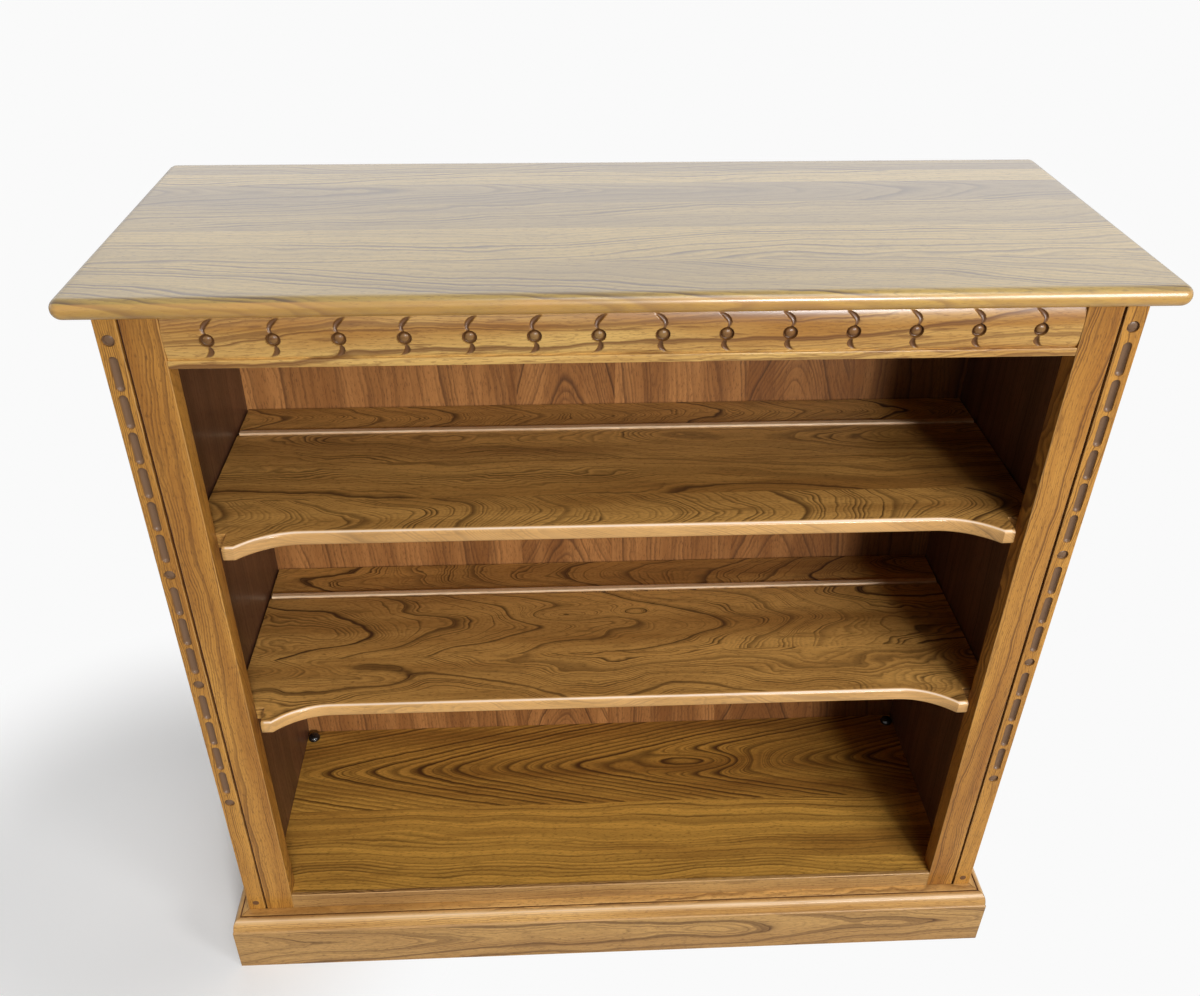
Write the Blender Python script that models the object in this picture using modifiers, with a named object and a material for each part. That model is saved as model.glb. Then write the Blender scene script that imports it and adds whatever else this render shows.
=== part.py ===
"""Open bookcase: carved posts, carved frieze, two loose shelves, moulded plinth.

The object stands on its plinth with +Z up, its front towards -Y and its
origin at the centre of its footprint. All lengths are in metres.
"""

import math

import bmesh
import bpy
from mathutils import Matrix, Vector

# Fits and clearances
GLUE_GAP = 0.0003
SLIDE_FIT = 0.0003
HOLE_CLEARANCE = 0.0002
OVERRUN = 0.004
ARRIS = 0.0009

# Distances below which points count as one and places as equal
WELD_DISTANCE = 0.00001
TINY = 0.0001

# Case
CASE_WIDTH = 0.960
CASE_DEPTH = 0.3290
OVERALL_HEIGHT = 0.970

# Top board
TOP_THICK = 0.020
TOP_OVERHANG = 0.0250
TOP_CORNER_RADIUS = 0.0105
TOP_CORNER_STEPS = 4
TOP_EDGE_RADIUS = 0.0098
TOP_EDGE_STEPS = 5

# Front frame: carved post outside, plain stile inside, a quirk between them
POST_WIDTH = 0.0209
STILE_WIDTH = 0.0367
FRAME_DEPTH = 0.0232
QUIRK_WIDTH = 0.0026
QUIRK_DEPTH = 0.0030

# Sides and back
SIDE_THICK = 0.030
SIDE_SET_IN = 0.002
BACK_SET_IN = 0.0465
BACK_THICK = 0.006
BACK_GROOVE_DEPTH = 0.006
REAR_RAIL_THICK = 0.022
REAR_TOP_RAIL_HEIGHT = 0.050

# Bottom board and the strip that covers its front edge
BOTTOM_ABOVE_MOULDING = 0.0243
BOTTOM_THICK = 0.018
LIPPING_THICK = 0.005
LIPPING_HEIGHT = 0.044
LIPPING_PROUD = 0.0004
FRONT_RAIL_THICK = 0.020
FRONT_RAIL_HEIGHT = 0.065

# Plinth and base moulding
PLINTH_HEIGHT = 0.0722
PLINTH_FRONT_PROUD = 0.0236
PLINTH_SIDE_PROUD = 0.0192
PLINTH_ARRIS = 0.0015
MOULDING_HEIGHT = 0.0168

# Shelves
SHELF_THICK = 0.018
BOTTOM_BAY_HEIGHT = 0.2999
MIDDLE_BAY_HEIGHT = 0.2345
SHELF_END_GAP = 0.0022
SHELF_BACK_GAP = 0.0015
SHELF_STILE_GAP = 0.0100
SHELF_NOTCH_GAP = 0.0020
SHELF_FRONT_SET_BACK = 0.0010
SHELF_RECESS = 0.0240
SHELF_SWEEP_RADIUS = 0.100
SHELF_EAR_WIDTH = 0.0115
SHELF_EDGE_RADIUS = 0.0045
SHELF_EDGE_STEPS = 3
SHELF_SWEEP_STEPS = 8

# Book stop strip let into each shelf
STOP_WIDTH = 0.0080
STOP_PROUD = 0.0028
STOP_LET_IN = 0.0020
STOP_FROM_BACK = 0.0630
STOP_END_GAP = 0.0025
STOP_EDGE_RADIUS = 0.0012

# Shelf pegs
PEG_RADIUS = 0.0035
PEG_PROUD = 0.0105
PEG_LET_IN = 0.0120
PEG_NOSE = 0.0010
PEG_FRONT_FROM_FACE = 0.0600
PEG_REAR_FROM_BACK = 0.0475

# Frieze rail
FRIEZE_HEIGHT = 0.0589
FRIEZE_THICK = 0.0220
FRIEZE_LIP_HEIGHT = 0.0082
FRIEZE_LIP_SET_BACK = 0.0003
FRIEZE_QUIRK_DEPTH = 0.0034
FRIEZE_QUIRK_HEIGHT = 0.0010
FRIEZE_CROWN_HEIGHT = 0.0330
FRIEZE_TOP_SET_BACK = 0.0085
FRIEZE_CROWN_STEPS = 5

# Frieze carving: a bead in a round sinking with a gouge above and below
MOTIF_COUNT = 14
MOTIF_PITCH = 0.0589
MOTIF_HEIGHT = 0.0284
BEAD_SINK_RADIUS = 0.0068
BEAD_RADIUS = 0.0038
BEAD_SINK_DEPTH = 0.0034
BEAD_PROUD = 0.0010
GOUGE_RADIUS = 0.0027
GOUGE_SPAN = 0.0090
GOUGE_RISE = 0.0180
GOUGE_FACE_DEPTH = 0.0022

# Post carving: beads and round-ended flutes between them
BEADS_BELOW_TOP = (0.0291, 0.2985, 0.4546, 0.6515)
FLUTES_BETWEEN = (6, 3, 4)
FLUTE_MARGIN = 0.0157
FLUTE_GAP = 0.0030
FLUTE_RADIUS = 0.0047
FLUTE_DEPTH = 0.0036
POST_BEAD_SINK_RADIUS = 0.0060
POST_BEAD_RADIUS = 0.0034
POST_BEAD_SINK_DEPTH = 0.0026
POST_BEAD_PROUD = 0.0004

# Plugs over the screws at the foot of each post
PLUG_ABOVE_MOULDING = 0.0124
PLUG_RADIUS = 0.0042
PLUG_LENGTH = 0.0070
PLUG_PROUD = 0.0002

# Domed caps on the bottom board's back corners
CAP_RADIUS = 0.0085
CAP_HEIGHT = 0.0085
CAP_STEM_RADIUS = 0.0025
CAP_STEM_LENGTH = 0.0120
CAP_FROM_SIDE = 0.0098
CAP_FROM_BACK = 0.0135
CAP_RINGS = 5

# Battens and screws that hold the top board
BATTEN_SIZE = 0.020
BATTEN_END_GAP = 0.0050
SCREW_RADIUS = 0.0020
SCREW_HEAD_RADIUS = 0.0040
SCREW_HEAD_HEIGHT = 0.0025
SCREW_BITE = 0.0120
SCREW_FRONT_FROM_FACE = 0.0800
SCREW_REAR_FROM_BACK = 0.0625

# Glue blocks in the corners of the base
BLOCK_LEG = 0.030
BLOCK_HEIGHT = 0.055
BLOCK_FLOOR_GAP = 0.008

# Roundness
ROUND_STEPS = 16
FLUTE_STEPS = 12
FLUTE_RINGS = 6
BEAD_STEPS = 12
BEAD_DOME_STEPS = 3
BEAD_DOME_SHARE = 0.45
ROUND_SHARE = 0.5
SMOOTH_ANGLE = math.radians(35)

# Places worked out from the sizes above
TOP_WIDTH = CASE_WIDTH + 2 * TOP_OVERHANG
FACE_Y = -CASE_DEPTH / 2
CASE_BACK_Y = FACE_Y + CASE_DEPTH
CASE_TOP_Z = OVERALL_HEIGHT - TOP_THICK - GLUE_GAP
CASE_HALF = CASE_WIDTH / 2
POST_INNER_X = CASE_HALF - POST_WIDTH
POST_CENTRE_X = CASE_HALF - POST_WIDTH / 2
STILE_OUTER_X = POST_INNER_X - GLUE_GAP
STILE_INNER_X = STILE_OUTER_X - STILE_WIDTH
FRAME_BACK_Y = FACE_Y + FRAME_DEPTH
SIDE_OUTER_X = CASE_HALF - SIDE_SET_IN
SIDE_INNER_X = SIDE_OUTER_X - SIDE_THICK
SIDE_FRONT_Y = FRAME_BACK_Y + GLUE_GAP
BACK_FACE_Y = CASE_BACK_Y - BACK_SET_IN
BACK_REAR_Y = BACK_FACE_Y + BACK_THICK
MOULDING_TOP_Z = PLINTH_HEIGHT + GLUE_GAP + MOULDING_HEIGHT
BOTTOM_TOP_Z = MOULDING_TOP_Z + BOTTOM_ABOVE_MOULDING
BOTTOM_UNDER_Z = BOTTOM_TOP_Z - BOTTOM_THICK
SHELF_LOWER_TOP_Z = BOTTOM_TOP_Z + BOTTOM_BAY_HEIGHT + SHELF_THICK
SHELF_UPPER_TOP_Z = SHELF_LOWER_TOP_Z + MIDDLE_BAY_HEIGHT + SHELF_THICK
FRIEZE_BOTTOM_Z = CASE_TOP_Z - FRIEZE_HEIGHT
BEAD_Z = tuple(CASE_TOP_Z - below for below in BEADS_BELOW_TOP)
PLUG_Z = MOULDING_TOP_Z + PLUG_ABOVE_MOULDING
BETWEEN_STILES = STILE_INNER_X - GLUE_GAP

COLLECTION = "open_bookcase"
CUTTER_COLLECTION = "cutters"

COLOURS = {
    "elm_golden": ((0.434, 0.212, 0.045), 0.34),
    "elm_top": ((0.300, 0.180, 0.080), 0.30),
    "elm_shelf": ((0.230, 0.120, 0.030), 0.32),
    "elm_red_veneer": ((0.240, 0.105, 0.035), 0.38),
    "hidden_softwood": ((0.480, 0.330, 0.160), 0.60),
    "dark_plug": ((0.090, 0.050, 0.025), 0.45),
    "black_plastic": ((0.008, 0.008, 0.008), 0.28),
    "brass": ((0.560, 0.400, 0.140), 0.30),
    "zinc_steel": ((0.500, 0.500, 0.500), 0.35),
}
METALS = ("brass", "zinc_steel")


def clear_scene():
    """Remove every object of the start scene."""
    for obj in list(bpy.data.objects):
        bpy.data.objects.remove(obj, do_unlink=True)


def make_collection(name):
    """Return a new collection linked to the scene."""
    group = bpy.data.collections.new(name)
    bpy.context.scene.collection.children.link(group)
    return group


def make_material(name):
    """Return the named plain material, made once."""
    found = bpy.data.materials.get(name)
    if found is not None:
        return found
    colour, roughness = COLOURS[name]
    material = bpy.data.materials.new(name)
    material.use_nodes = True
    shader = material.node_tree.nodes["Principled BSDF"]
    shader.inputs["Base Color"].default_value = (*colour, 1.0)
    shader.inputs["Roughness"].default_value = roughness
    shader.inputs["Metallic"].default_value = 1.0 if name in METALS else 0.0
    return material


def add_object(name, mesh, material, centre=(0, 0, 0)):
    """Link a finished mesh into the bookcase's collection as one sub-part."""
    obj = bpy.data.objects.new(name, mesh)
    obj.location = centre
    mesh.materials.clear()
    mesh.materials.append(make_material(material))
    bpy.data.collections[COLLECTION].objects.link(obj)
    return obj


def to_mesh(bm, name):
    """Write a bmesh to a new mesh with faces pointing out."""
    bmesh.ops.recalc_face_normals(bm, faces=bm.faces)
    mesh = bpy.data.meshes.new(name)
    bm.to_mesh(mesh)
    bm.free()
    return mesh


def box_bmesh(low, high):
    """Return a bmesh box centred on zero with the given corners' size."""
    size = Vector(high) - Vector(low)
    bm = bmesh.new()
    bmesh.ops.create_cube(bm, size=1)
    bmesh.ops.scale(bm, vec=size, verts=bm.verts)
    return bm


def middle(low, high):
    """Return the centre of a box."""
    return (Vector(low) + Vector(high)) / 2


def add_box(name, low, high, material, arris=ARRIS):
    """Add a straight board with lightly eased edges."""
    bm = box_bmesh(low, high)
    obj = add_object(name, to_mesh(bm, name), material, middle(low, high))
    if arris:
        bevel = obj.modifiers.new("eased_edges", "BEVEL")
        bevel.width = arris
        bevel.segments = 1
        bevel.limit_method = "ANGLE"
    return obj


def outline_mesh(name, points, thickness):
    """Return the mesh of a flat outline filled and extruded by a 2D curve."""
    data = bpy.data.curves.new(name, "CURVE")
    data.dimensions = "2D"
    data.fill_mode = "BOTH"
    data.extrude = thickness / 2
    spline = data.splines.new("POLY")
    spline.points.add(len(points) - 1)
    for point, (u, v) in zip(spline.points, points):
        point.co = (u, v, 0, 1)
    spline.use_cyclic_u = True
    holder = bpy.data.objects.new(name, data)
    bpy.context.scene.collection.objects.link(holder)
    graph = bpy.context.evaluated_depsgraph_get()
    mesh = bpy.data.meshes.new_from_object(holder.evaluated_get(graph))
    bpy.data.objects.remove(holder, do_unlink=True)
    bm = bmesh.new()
    bm.from_mesh(mesh)
    bmesh.ops.remove_doubles(bm, verts=bm.verts, dist=WELD_DISTANCE)
    for side in (-1, 1):
        cap = [face for face in bm.faces if all(side * vert.co.z > 0 for vert in face.verts)]
        bmesh.ops.dissolve_faces(bm, faces=cap)
    bmesh.ops.recalc_face_normals(bm, faces=bm.faces)
    bm.to_mesh(mesh)
    bm.free()
    return mesh


def turned_mesh(name, profile, steps=ROUND_STEPS):
    """Return a solid turned about Z from a profile run from top to bottom."""
    mesh = bpy.data.meshes.new(name)
    edges = [(k, k + 1) for k in range(len(profile) - 1)]
    mesh.from_pydata([(r, 0, z) for r, z in profile], edges, [])
    holder = bpy.data.objects.new(name, mesh)
    bpy.context.scene.collection.objects.link(holder)
    screw = holder.modifiers.new("turn", "SCREW")
    screw.steps = steps
    screw.render_steps = steps
    screw.use_merge_vertices = True
    screw.merge_threshold = WELD_DISTANCE
    graph = bpy.context.evaluated_depsgraph_get()
    turned = bpy.data.meshes.new_from_object(holder.evaluated_get(graph))
    bpy.data.objects.remove(holder, do_unlink=True)
    bm = bmesh.new()
    bm.from_mesh(turned)
    bmesh.ops.remove_doubles(bm, verts=bm.verts, dist=WELD_DISTANCE)
    bmesh.ops.recalc_face_normals(bm, faces=bm.faces)
    bm.to_mesh(turned)
    bm.free()
    turned.shade_smooth()
    turned.set_sharp_from_angle(angle=SMOOTH_ANGLE)
    return turned


def drill_mesh(name, radius, depth, start=OVERRUN):
    """Return a cutter for a drilled hole that goes down from a start above its mouth."""
    return turned_mesh(name, [(0, start), (radius, start), (radius, -depth), (0, -depth)], BEAD_STEPS)


def add_cutter(name, mesh, location=(0, 0, 0), rotation=(0, 0, 0)):
    """Add a hidden cutting shape."""
    obj = bpy.data.objects.new(name, mesh)
    obj.location = location
    obj.rotation_euler = rotation
    obj.hide_render = True
    obj.display_type = "WIRE"
    bpy.data.collections[CUTTER_COLLECTION].objects.link(obj)
    return obj


def cut(obj, cutter, operation="DIFFERENCE"):
    """Cut one object with a cutter by an exact Boolean."""
    step = obj.modifiers.new("cut_" + cutter.name, "BOOLEAN")
    step.operation = operation
    step.solver = "EXACT"
    step.object = cutter


def cutter_box(name, low, high):
    """Add a box shaped cutter."""
    bm = box_bmesh(low, high)
    return add_cutter(name, to_mesh(bm, name), middle(low, high))


def round_edges(mesh, choose, radius, steps):
    """Round the edges of a mesh that the test picks."""
    bm = bmesh.new()
    bm.from_mesh(mesh)
    edges = [edge for edge in bm.edges if choose(edge)]
    bmesh.ops.bevel(bm, geom=edges, offset=radius, offset_type="OFFSET", segments=steps,
                    profile=ROUND_SHARE, affect="EDGES", clamp_overlap=True)
    bmesh.ops.recalc_face_normals(bm, faces=bm.faces)
    bm.to_mesh(mesh)
    bm.free()


def join_meshes(name, pieces):
    """Return one mesh that holds several placed meshes, for use as a cutter."""
    bm = bmesh.new()
    for mesh, matrix in pieces:
        copy = mesh.copy()
        copy.transform(matrix)
        bm.from_mesh(copy)
        bpy.data.meshes.remove(copy)
    out = bpy.data.meshes.new(name)
    bm.to_mesh(out)
    bm.free()
    return out


def build_top():
    """The top board: rounded corners and a full bullnose all round."""
    low = (-TOP_WIDTH / 2, FACE_Y - TOP_OVERHANG, OVERALL_HEIGHT - TOP_THICK)
    high = (TOP_WIDTH / 2, CASE_BACK_Y + TOP_OVERHANG, OVERALL_HEIGHT)
    mesh = to_mesh(box_bmesh(low, high), "top_board")

    def upright(edge):
        a, b = edge.verts
        return abs(a.co.z - b.co.z) > TOP_THICK / 2

    round_edges(mesh, upright, TOP_CORNER_RADIUS, TOP_CORNER_STEPS)
    round_edges(mesh, lambda edge: not upright(edge), TOP_EDGE_RADIUS, TOP_EDGE_STEPS)
    mesh.shade_smooth()
    mesh.set_sharp_from_angle(angle=SMOOTH_ANGLE)
    return add_object("top_board", mesh, "elm_top", middle(low, high))


def bead_profile(sink_radius, bead_radius, sink_depth, proud):
    """Profile of a round sinking that leaves a low bead at its middle, as a cutter."""
    bead_top = -sink_depth + proud + bead_radius * BEAD_DOME_SHARE
    rise = bead_top + sink_depth
    points = [(0, OVERRUN), (sink_radius, OVERRUN), (sink_radius, 0), (bead_radius, -sink_depth)]
    for k in range(1, BEAD_DOME_STEPS):
        angle = math.pi / 2 * k / BEAD_DOME_STEPS
        points.append((bead_radius * math.cos(angle), -sink_depth + rise * math.sin(angle)))
    points.append((0, bead_top))
    return points


def flute_mesh(length):
    """A round-ended flute cutter lying along Z, its round floor towards +Y."""
    bm = bmesh.new()
    bmesh.ops.create_uvsphere(bm, u_segments=FLUTE_STEPS, v_segments=FLUTE_RINGS, radius=FLUTE_RADIUS)
    stretch = length / 2 - FLUTE_RADIUS
    for vert in bm.verts:
        if vert.co.z > TINY:
            vert.co.z += stretch
        elif vert.co.z < -TINY:
            vert.co.z -= stretch
    return to_mesh(bm, "flute")


def flute_places():
    """Yield the centre height and length of every flute on a post."""
    for upper, lower, count in zip(BEAD_Z, BEAD_Z[1:], FLUTES_BETWEEN):
        run = upper - lower - 2 * FLUTE_MARGIN
        length = (run - (count - 1) * FLUTE_GAP) / count
        for k in range(count):
            start = upper - FLUTE_MARGIN - k * (length + FLUTE_GAP)
            yield start - length / 2, length


def post_carving(side):
    """One cutter with all the flutes, bead sinkings and the plug hole of a post."""
    x = side * POST_CENTRE_X
    pieces = []
    for z, length in flute_places():
        y = FACE_Y + FLUTE_DEPTH - FLUTE_RADIUS
        pieces.append((flute_mesh(length), Matrix.Translation((x, y, z))))
    face_on = Matrix.Rotation(math.pi / 2, 4, "X")
    bead = turned_mesh("post_bead", bead_profile(POST_BEAD_SINK_RADIUS, POST_BEAD_RADIUS,
                                                 POST_BEAD_SINK_DEPTH, POST_BEAD_PROUD), BEAD_STEPS)
    for z in BEAD_Z:
        pieces.append((bead, Matrix.Translation((x, FACE_Y, z)) @ face_on))
    hole = drill_mesh("plug_hole", PLUG_RADIUS + HOLE_CLEARANCE, PLUG_LENGTH + GLUE_GAP)
    pieces.append((hole, Matrix.Translation((x, FACE_Y, PLUG_Z)) @ face_on))
    return pieces


def build_front_frame(side, label):
    """Carved post, plain stile with its quirk, and the plug at the post's foot."""
    low = (min(side * POST_INNER_X, side * CASE_HALF), FACE_Y, 0)
    high = (max(side * POST_INNER_X, side * CASE_HALF), FRAME_BACK_Y, CASE_TOP_Z)
    post = add_box("carved_post_" + label, low, high, "elm_golden")
    cutter = add_cutter("carving_" + label, join_meshes("carving_" + label, post_carving(side)))
    cut(post, cutter)

    quirk_x = POST_INNER_X - QUIRK_WIDTH
    section = [
        (STILE_INNER_X, FACE_Y),
        (quirk_x, FACE_Y),
        (quirk_x, FACE_Y + QUIRK_DEPTH),
        (STILE_OUTER_X, FACE_Y + QUIRK_DEPTH),
        (STILE_OUTER_X, FRAME_BACK_Y),
        (STILE_INNER_X, FRAME_BACK_Y),
    ]
    if side < 0:
        section = [(-x, y) for x, y in reversed(section)]
    mesh = outline_mesh("inner_stile_" + label, section, CASE_TOP_Z)

    def front_arris(edge):
        a, b = edge.verts
        upright = abs(a.co.z - b.co.z) > CASE_TOP_Z / 2
        return upright and a.co.y < FACE_Y + TINY

    round_edges(mesh, front_arris, ARRIS, 1)
    add_object("inner_stile_" + label, mesh, "elm_golden", (0, 0, CASE_TOP_Z / 2))

    plug = turned_mesh("foot_plug_" + label, [(0, PLUG_PROUD), (PLUG_RADIUS, PLUG_PROUD),
                                              (PLUG_RADIUS, -PLUG_LENGTH), (0, -PLUG_LENGTH)], BEAD_STEPS)
    plug.transform(Matrix.Rotation(math.pi / 2, 4, "X"))
    add_object("foot_plug_" + label, plug, "dark_plug", (side * POST_CENTRE_X, FACE_Y, PLUG_Z))


def peg_places(shelf_top):
    """Yield the label, depth and height of the pegs under one shelf."""
    z = shelf_top - SHELF_THICK - GLUE_GAP - PEG_RADIUS
    yield "front", FACE_Y + PEG_FRONT_FROM_FACE, z
    yield "rear", BACK_FACE_Y - PEG_REAR_FROM_BACK, z


def build_side(side, label):
    """Side board, grooved for the back and the bottom and drilled for the pegs."""
    low = (min(side * SIDE_INNER_X, side * SIDE_OUTER_X), SIDE_FRONT_Y, 0)
    high = (max(side * SIDE_INNER_X, side * SIDE_OUTER_X), CASE_BACK_Y, CASE_TOP_Z)
    board = add_box("side_panel_" + label, low, high, "elm_red_veneer", 0)
    inner = side * (SIDE_INNER_X - OVERRUN)
    floor = side * (SIDE_INNER_X + BACK_GROOVE_DEPTH)
    groove = cutter_box("back_groove_" + label,
                        (min(inner, floor), BACK_FACE_Y - GLUE_GAP, BOTTOM_UNDER_Z - GLUE_GAP),
                        (max(inner, floor), BACK_REAR_Y + GLUE_GAP, CASE_TOP_Z + OVERRUN))
    cut(board, groove)
    radius = PEG_RADIUS + HOLE_CLEARANCE
    depth = PEG_LET_IN + GLUE_GAP
    hole = drill_mesh("peg_hole", radius, depth)
    turn = Matrix.Rotation(-side * math.pi / 2, 4, "Y")
    pieces = []
    for shelf_top in (SHELF_UPPER_TOP_Z, SHELF_LOWER_TOP_Z):
        for _, y, z in peg_places(shelf_top):
            pieces.append((hole, Matrix.Translation((side * SIDE_INNER_X, y, z)) @ turn))
    cut(board, add_cutter("peg_holes_" + label, join_meshes("peg_holes_" + label, pieces)))

    peg_profile = [
        (0, PEG_PROUD),
        (PEG_RADIUS - PEG_NOSE, PEG_PROUD),
        (PEG_RADIUS, PEG_PROUD - PEG_NOSE),
        (PEG_RADIUS, -PEG_LET_IN),
        (0, -PEG_LET_IN),
    ]
    for shelf_name, shelf_top in (("upper", SHELF_UPPER_TOP_Z), ("lower", SHELF_LOWER_TOP_Z)):
        for place, y, z in peg_places(shelf_top):
            name = "shelf_peg_" + shelf_name + "_" + place + "_" + label
            mesh = turned_mesh(name, peg_profile, BEAD_STEPS)
            mesh.transform(turn)
            add_object(name, mesh, "brass", (side * SIDE_INNER_X, y, z))


def frieze_section():
    """Section of the frieze rail: flat lip, quirk, then a cushioned face."""
    lip_y = FACE_Y + FRIEZE_LIP_SET_BACK
    lip_top = FRIEZE_BOTTOM_Z + FRIEZE_LIP_HEIGHT
    quirk_y = FACE_Y + FRIEZE_QUIRK_DEPTH
    start_z = lip_top + FRIEZE_QUIRK_HEIGHT
    crown_z = FRIEZE_BOTTOM_Z + FRIEZE_CROWN_HEIGHT
    rear_y = FACE_Y + FRIEZE_THICK
    points = [
        (rear_y, FRIEZE_BOTTOM_Z),
        (lip_y + ARRIS, FRIEZE_BOTTOM_Z),
        (lip_y, FRIEZE_BOTTOM_Z + ARRIS),
        (lip_y, lip_top - ARRIS),
        (lip_y + ARRIS, lip_top),
        (quirk_y, lip_top),
        (quirk_y, start_z),
    ]
    bulge = FRIEZE_QUIRK_DEPTH - FRIEZE_LIP_SET_BACK
    for k in range(1, FRIEZE_CROWN_STEPS + 1):
        angle = math.pi / 2 * k / FRIEZE_CROWN_STEPS
        share = math.sin(angle)
        z = start_z + (crown_z - start_z) * (1 - math.cos(angle))
        points.append((quirk_y - bulge * share, z))
    fall = FRIEZE_TOP_SET_BACK - FRIEZE_LIP_SET_BACK
    for k in range(1, FRIEZE_CROWN_STEPS + 1):
        share = k / FRIEZE_CROWN_STEPS
        z = crown_z + (CASE_TOP_Z - crown_z) * share
        points.append((lip_y + fall * share * share, z))
    points.append((rear_y, CASE_TOP_Z))
    return points


def frieze_depth(z):
    """Depth of the frieze's cushioned face behind the front plane at a height."""
    crown_z = FRIEZE_BOTTOM_Z + FRIEZE_CROWN_HEIGHT
    if z >= crown_z:
        share = (z - crown_z) / (CASE_TOP_Z - crown_z)
        return FRIEZE_LIP_SET_BACK + (FRIEZE_TOP_SET_BACK - FRIEZE_LIP_SET_BACK) * share * share
    start_z = FRIEZE_BOTTOM_Z + FRIEZE_LIP_HEIGHT + FRIEZE_QUIRK_HEIGHT
    share = max(0.0, (z - start_z) / (crown_z - start_z))
    bulge = FRIEZE_QUIRK_DEPTH - FRIEZE_LIP_SET_BACK
    return FRIEZE_QUIRK_DEPTH - bulge * math.sqrt(max(0.0, 1 - (1 - share) ** 2))


# Centre line of the upper gouge of a motif, in shares of its span and rise
UPPER_GOUGE_SHARES = (
    (1.00, 1.00),
    (0.45, 0.99),
    (-0.02, 0.86),
    (-0.26, 0.68),
    (-0.26, 0.50),
    (-0.12, 0.36),
)
# Centre line of the lower gouge, in the same shares
LOWER_GOUGE_SHARES = (
    (0.06, -0.34),
    (0.40, -0.50),
    (0.50, -0.68),
    (0.24, -0.86),
    (-0.30, -0.96),
    (-0.90, -0.99),
)
# Swell of each gouge along its length, as shares of its radius
GOUGE_SWELL_SHARES = (0.25, 0.70, 1.00, 1.00, 0.80, 0.35)


def gouge_mesh(shares, centre_z):
    """A tapering gouge cutter that follows the frieze's face."""
    data = bpy.data.curves.new("gouge", "CURVE")
    data.dimensions = "3D"
    data.bevel_depth = GOUGE_RADIUS
    data.bevel_resolution = 1
    data.use_fill_caps = True
    spline = data.splines.new("POLY")
    spline.points.add(len(shares) - 1)
    for point, (u, v), swell in zip(spline.points, shares, GOUGE_SWELL_SHARES):
        z = v * GOUGE_RISE
        depth = frieze_depth(centre_z + z) + GOUGE_FACE_DEPTH * swell - GOUGE_RADIUS * swell
        point.co = (u * GOUGE_SPAN, depth, z, 1)
        point.radius = swell
    holder = bpy.data.objects.new("gouge", data)
    bpy.context.scene.collection.objects.link(holder)
    graph = bpy.context.evaluated_depsgraph_get()
    mesh = bpy.data.meshes.new_from_object(holder.evaluated_get(graph))
    bpy.data.objects.remove(holder, do_unlink=True)
    bm = bmesh.new()
    bm.from_mesh(mesh)
    bmesh.ops.remove_doubles(bm, verts=bm.verts, dist=WELD_DISTANCE)
    bmesh.ops.recalc_face_normals(bm, faces=bm.faces)
    bm.to_mesh(mesh)
    bm.free()
    return mesh


def build_frieze():
    """Frieze rail with its row of carved motifs, mirrored about the middle."""
    length = 2 * BETWEEN_STILES
    mesh = outline_mesh("frieze_rail", frieze_section(), length)
    upright = Matrix(((0, 0, 1, 0), (1, 0, 0, 0), (0, 1, 0, 0), (0, 0, 0, 1)))
    mesh.transform(upright)
    rail = add_object("frieze_rail", mesh, "elm_golden")
    centre_z = FRIEZE_BOTTOM_Z + MOTIF_HEIGHT
    face_on = Matrix.Rotation(math.pi / 2, 4, "X")
    bead = turned_mesh("frieze_bead", bead_profile(BEAD_SINK_RADIUS, BEAD_RADIUS,
                                                   BEAD_SINK_DEPTH, BEAD_PROUD), BEAD_STEPS)
    upper = gouge_mesh(UPPER_GOUGE_SHARES, centre_z)
    lower = gouge_mesh(LOWER_GOUGE_SHARES, centre_z)
    flip = Matrix.Diagonal((-1, 1, 1, 1))
    beads = []
    uppers = []
    lowers = []
    for k in range(MOTIF_COUNT):
        x = (k - (MOTIF_COUNT - 1) / 2) * MOTIF_PITCH
        mirrored = flip if k >= MOTIF_COUNT / 2 else Matrix.Identity(4)
        depth = frieze_depth(centre_z)
        beads.append((bead, Matrix.Translation((x, FACE_Y + depth, centre_z)) @ face_on))
        place = Matrix.Translation((x, FACE_Y, centre_z)) @ mirrored
        uppers.append((upper, place))
        lowers.append((lower, place))
    for name, pieces in (("beads", beads), ("upper_gouges", uppers), ("lower_gouges", lowers)):
        merged = join_meshes(name, pieces)
        bm = bmesh.new()
        bm.from_mesh(merged)
        bmesh.ops.recalc_face_normals(bm, faces=bm.faces)
        bm.to_mesh(merged)
        bm.free()
        cut(rail, add_cutter(name, merged))


def shelf_outline():
    """Outline of a shelf: ears at both ends, a swept-back front, notched for the stiles."""
    half = SIDE_INNER_X - SHELF_END_GAP
    ear_x = STILE_INNER_X - SHELF_STILE_GAP
    front = FACE_Y + SHELF_FRONT_SET_BACK
    recess = front + SHELF_RECESS
    notch = FRAME_BACK_Y + SHELF_NOTCH_GAP
    rear = BACK_FACE_Y - SHELF_BACK_GAP
    sweep_x = ear_x - SHELF_EAR_WIDTH
    sweep_angle = math.acos(1 - SHELF_RECESS / SHELF_SWEEP_RADIUS)
    right = [(ear_x, front)]
    for k in range(SHELF_SWEEP_STEPS + 1):
        angle = sweep_angle * (1 - k / SHELF_SWEEP_STEPS)
        x = sweep_x - SHELF_SWEEP_RADIUS * (math.sin(sweep_angle) - math.sin(angle))
        y = recess - SHELF_SWEEP_RADIUS * (1 - math.cos(angle))
        right.append((x, y))
    left = [(-x, y) for x, y in reversed(right)]
    right_end = [(half, rear), (half, notch), (ear_x, notch)]
    left_end = [(-x, y) for x, y in reversed(right_end)]
    return right_end + right + left + left_end


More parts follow.
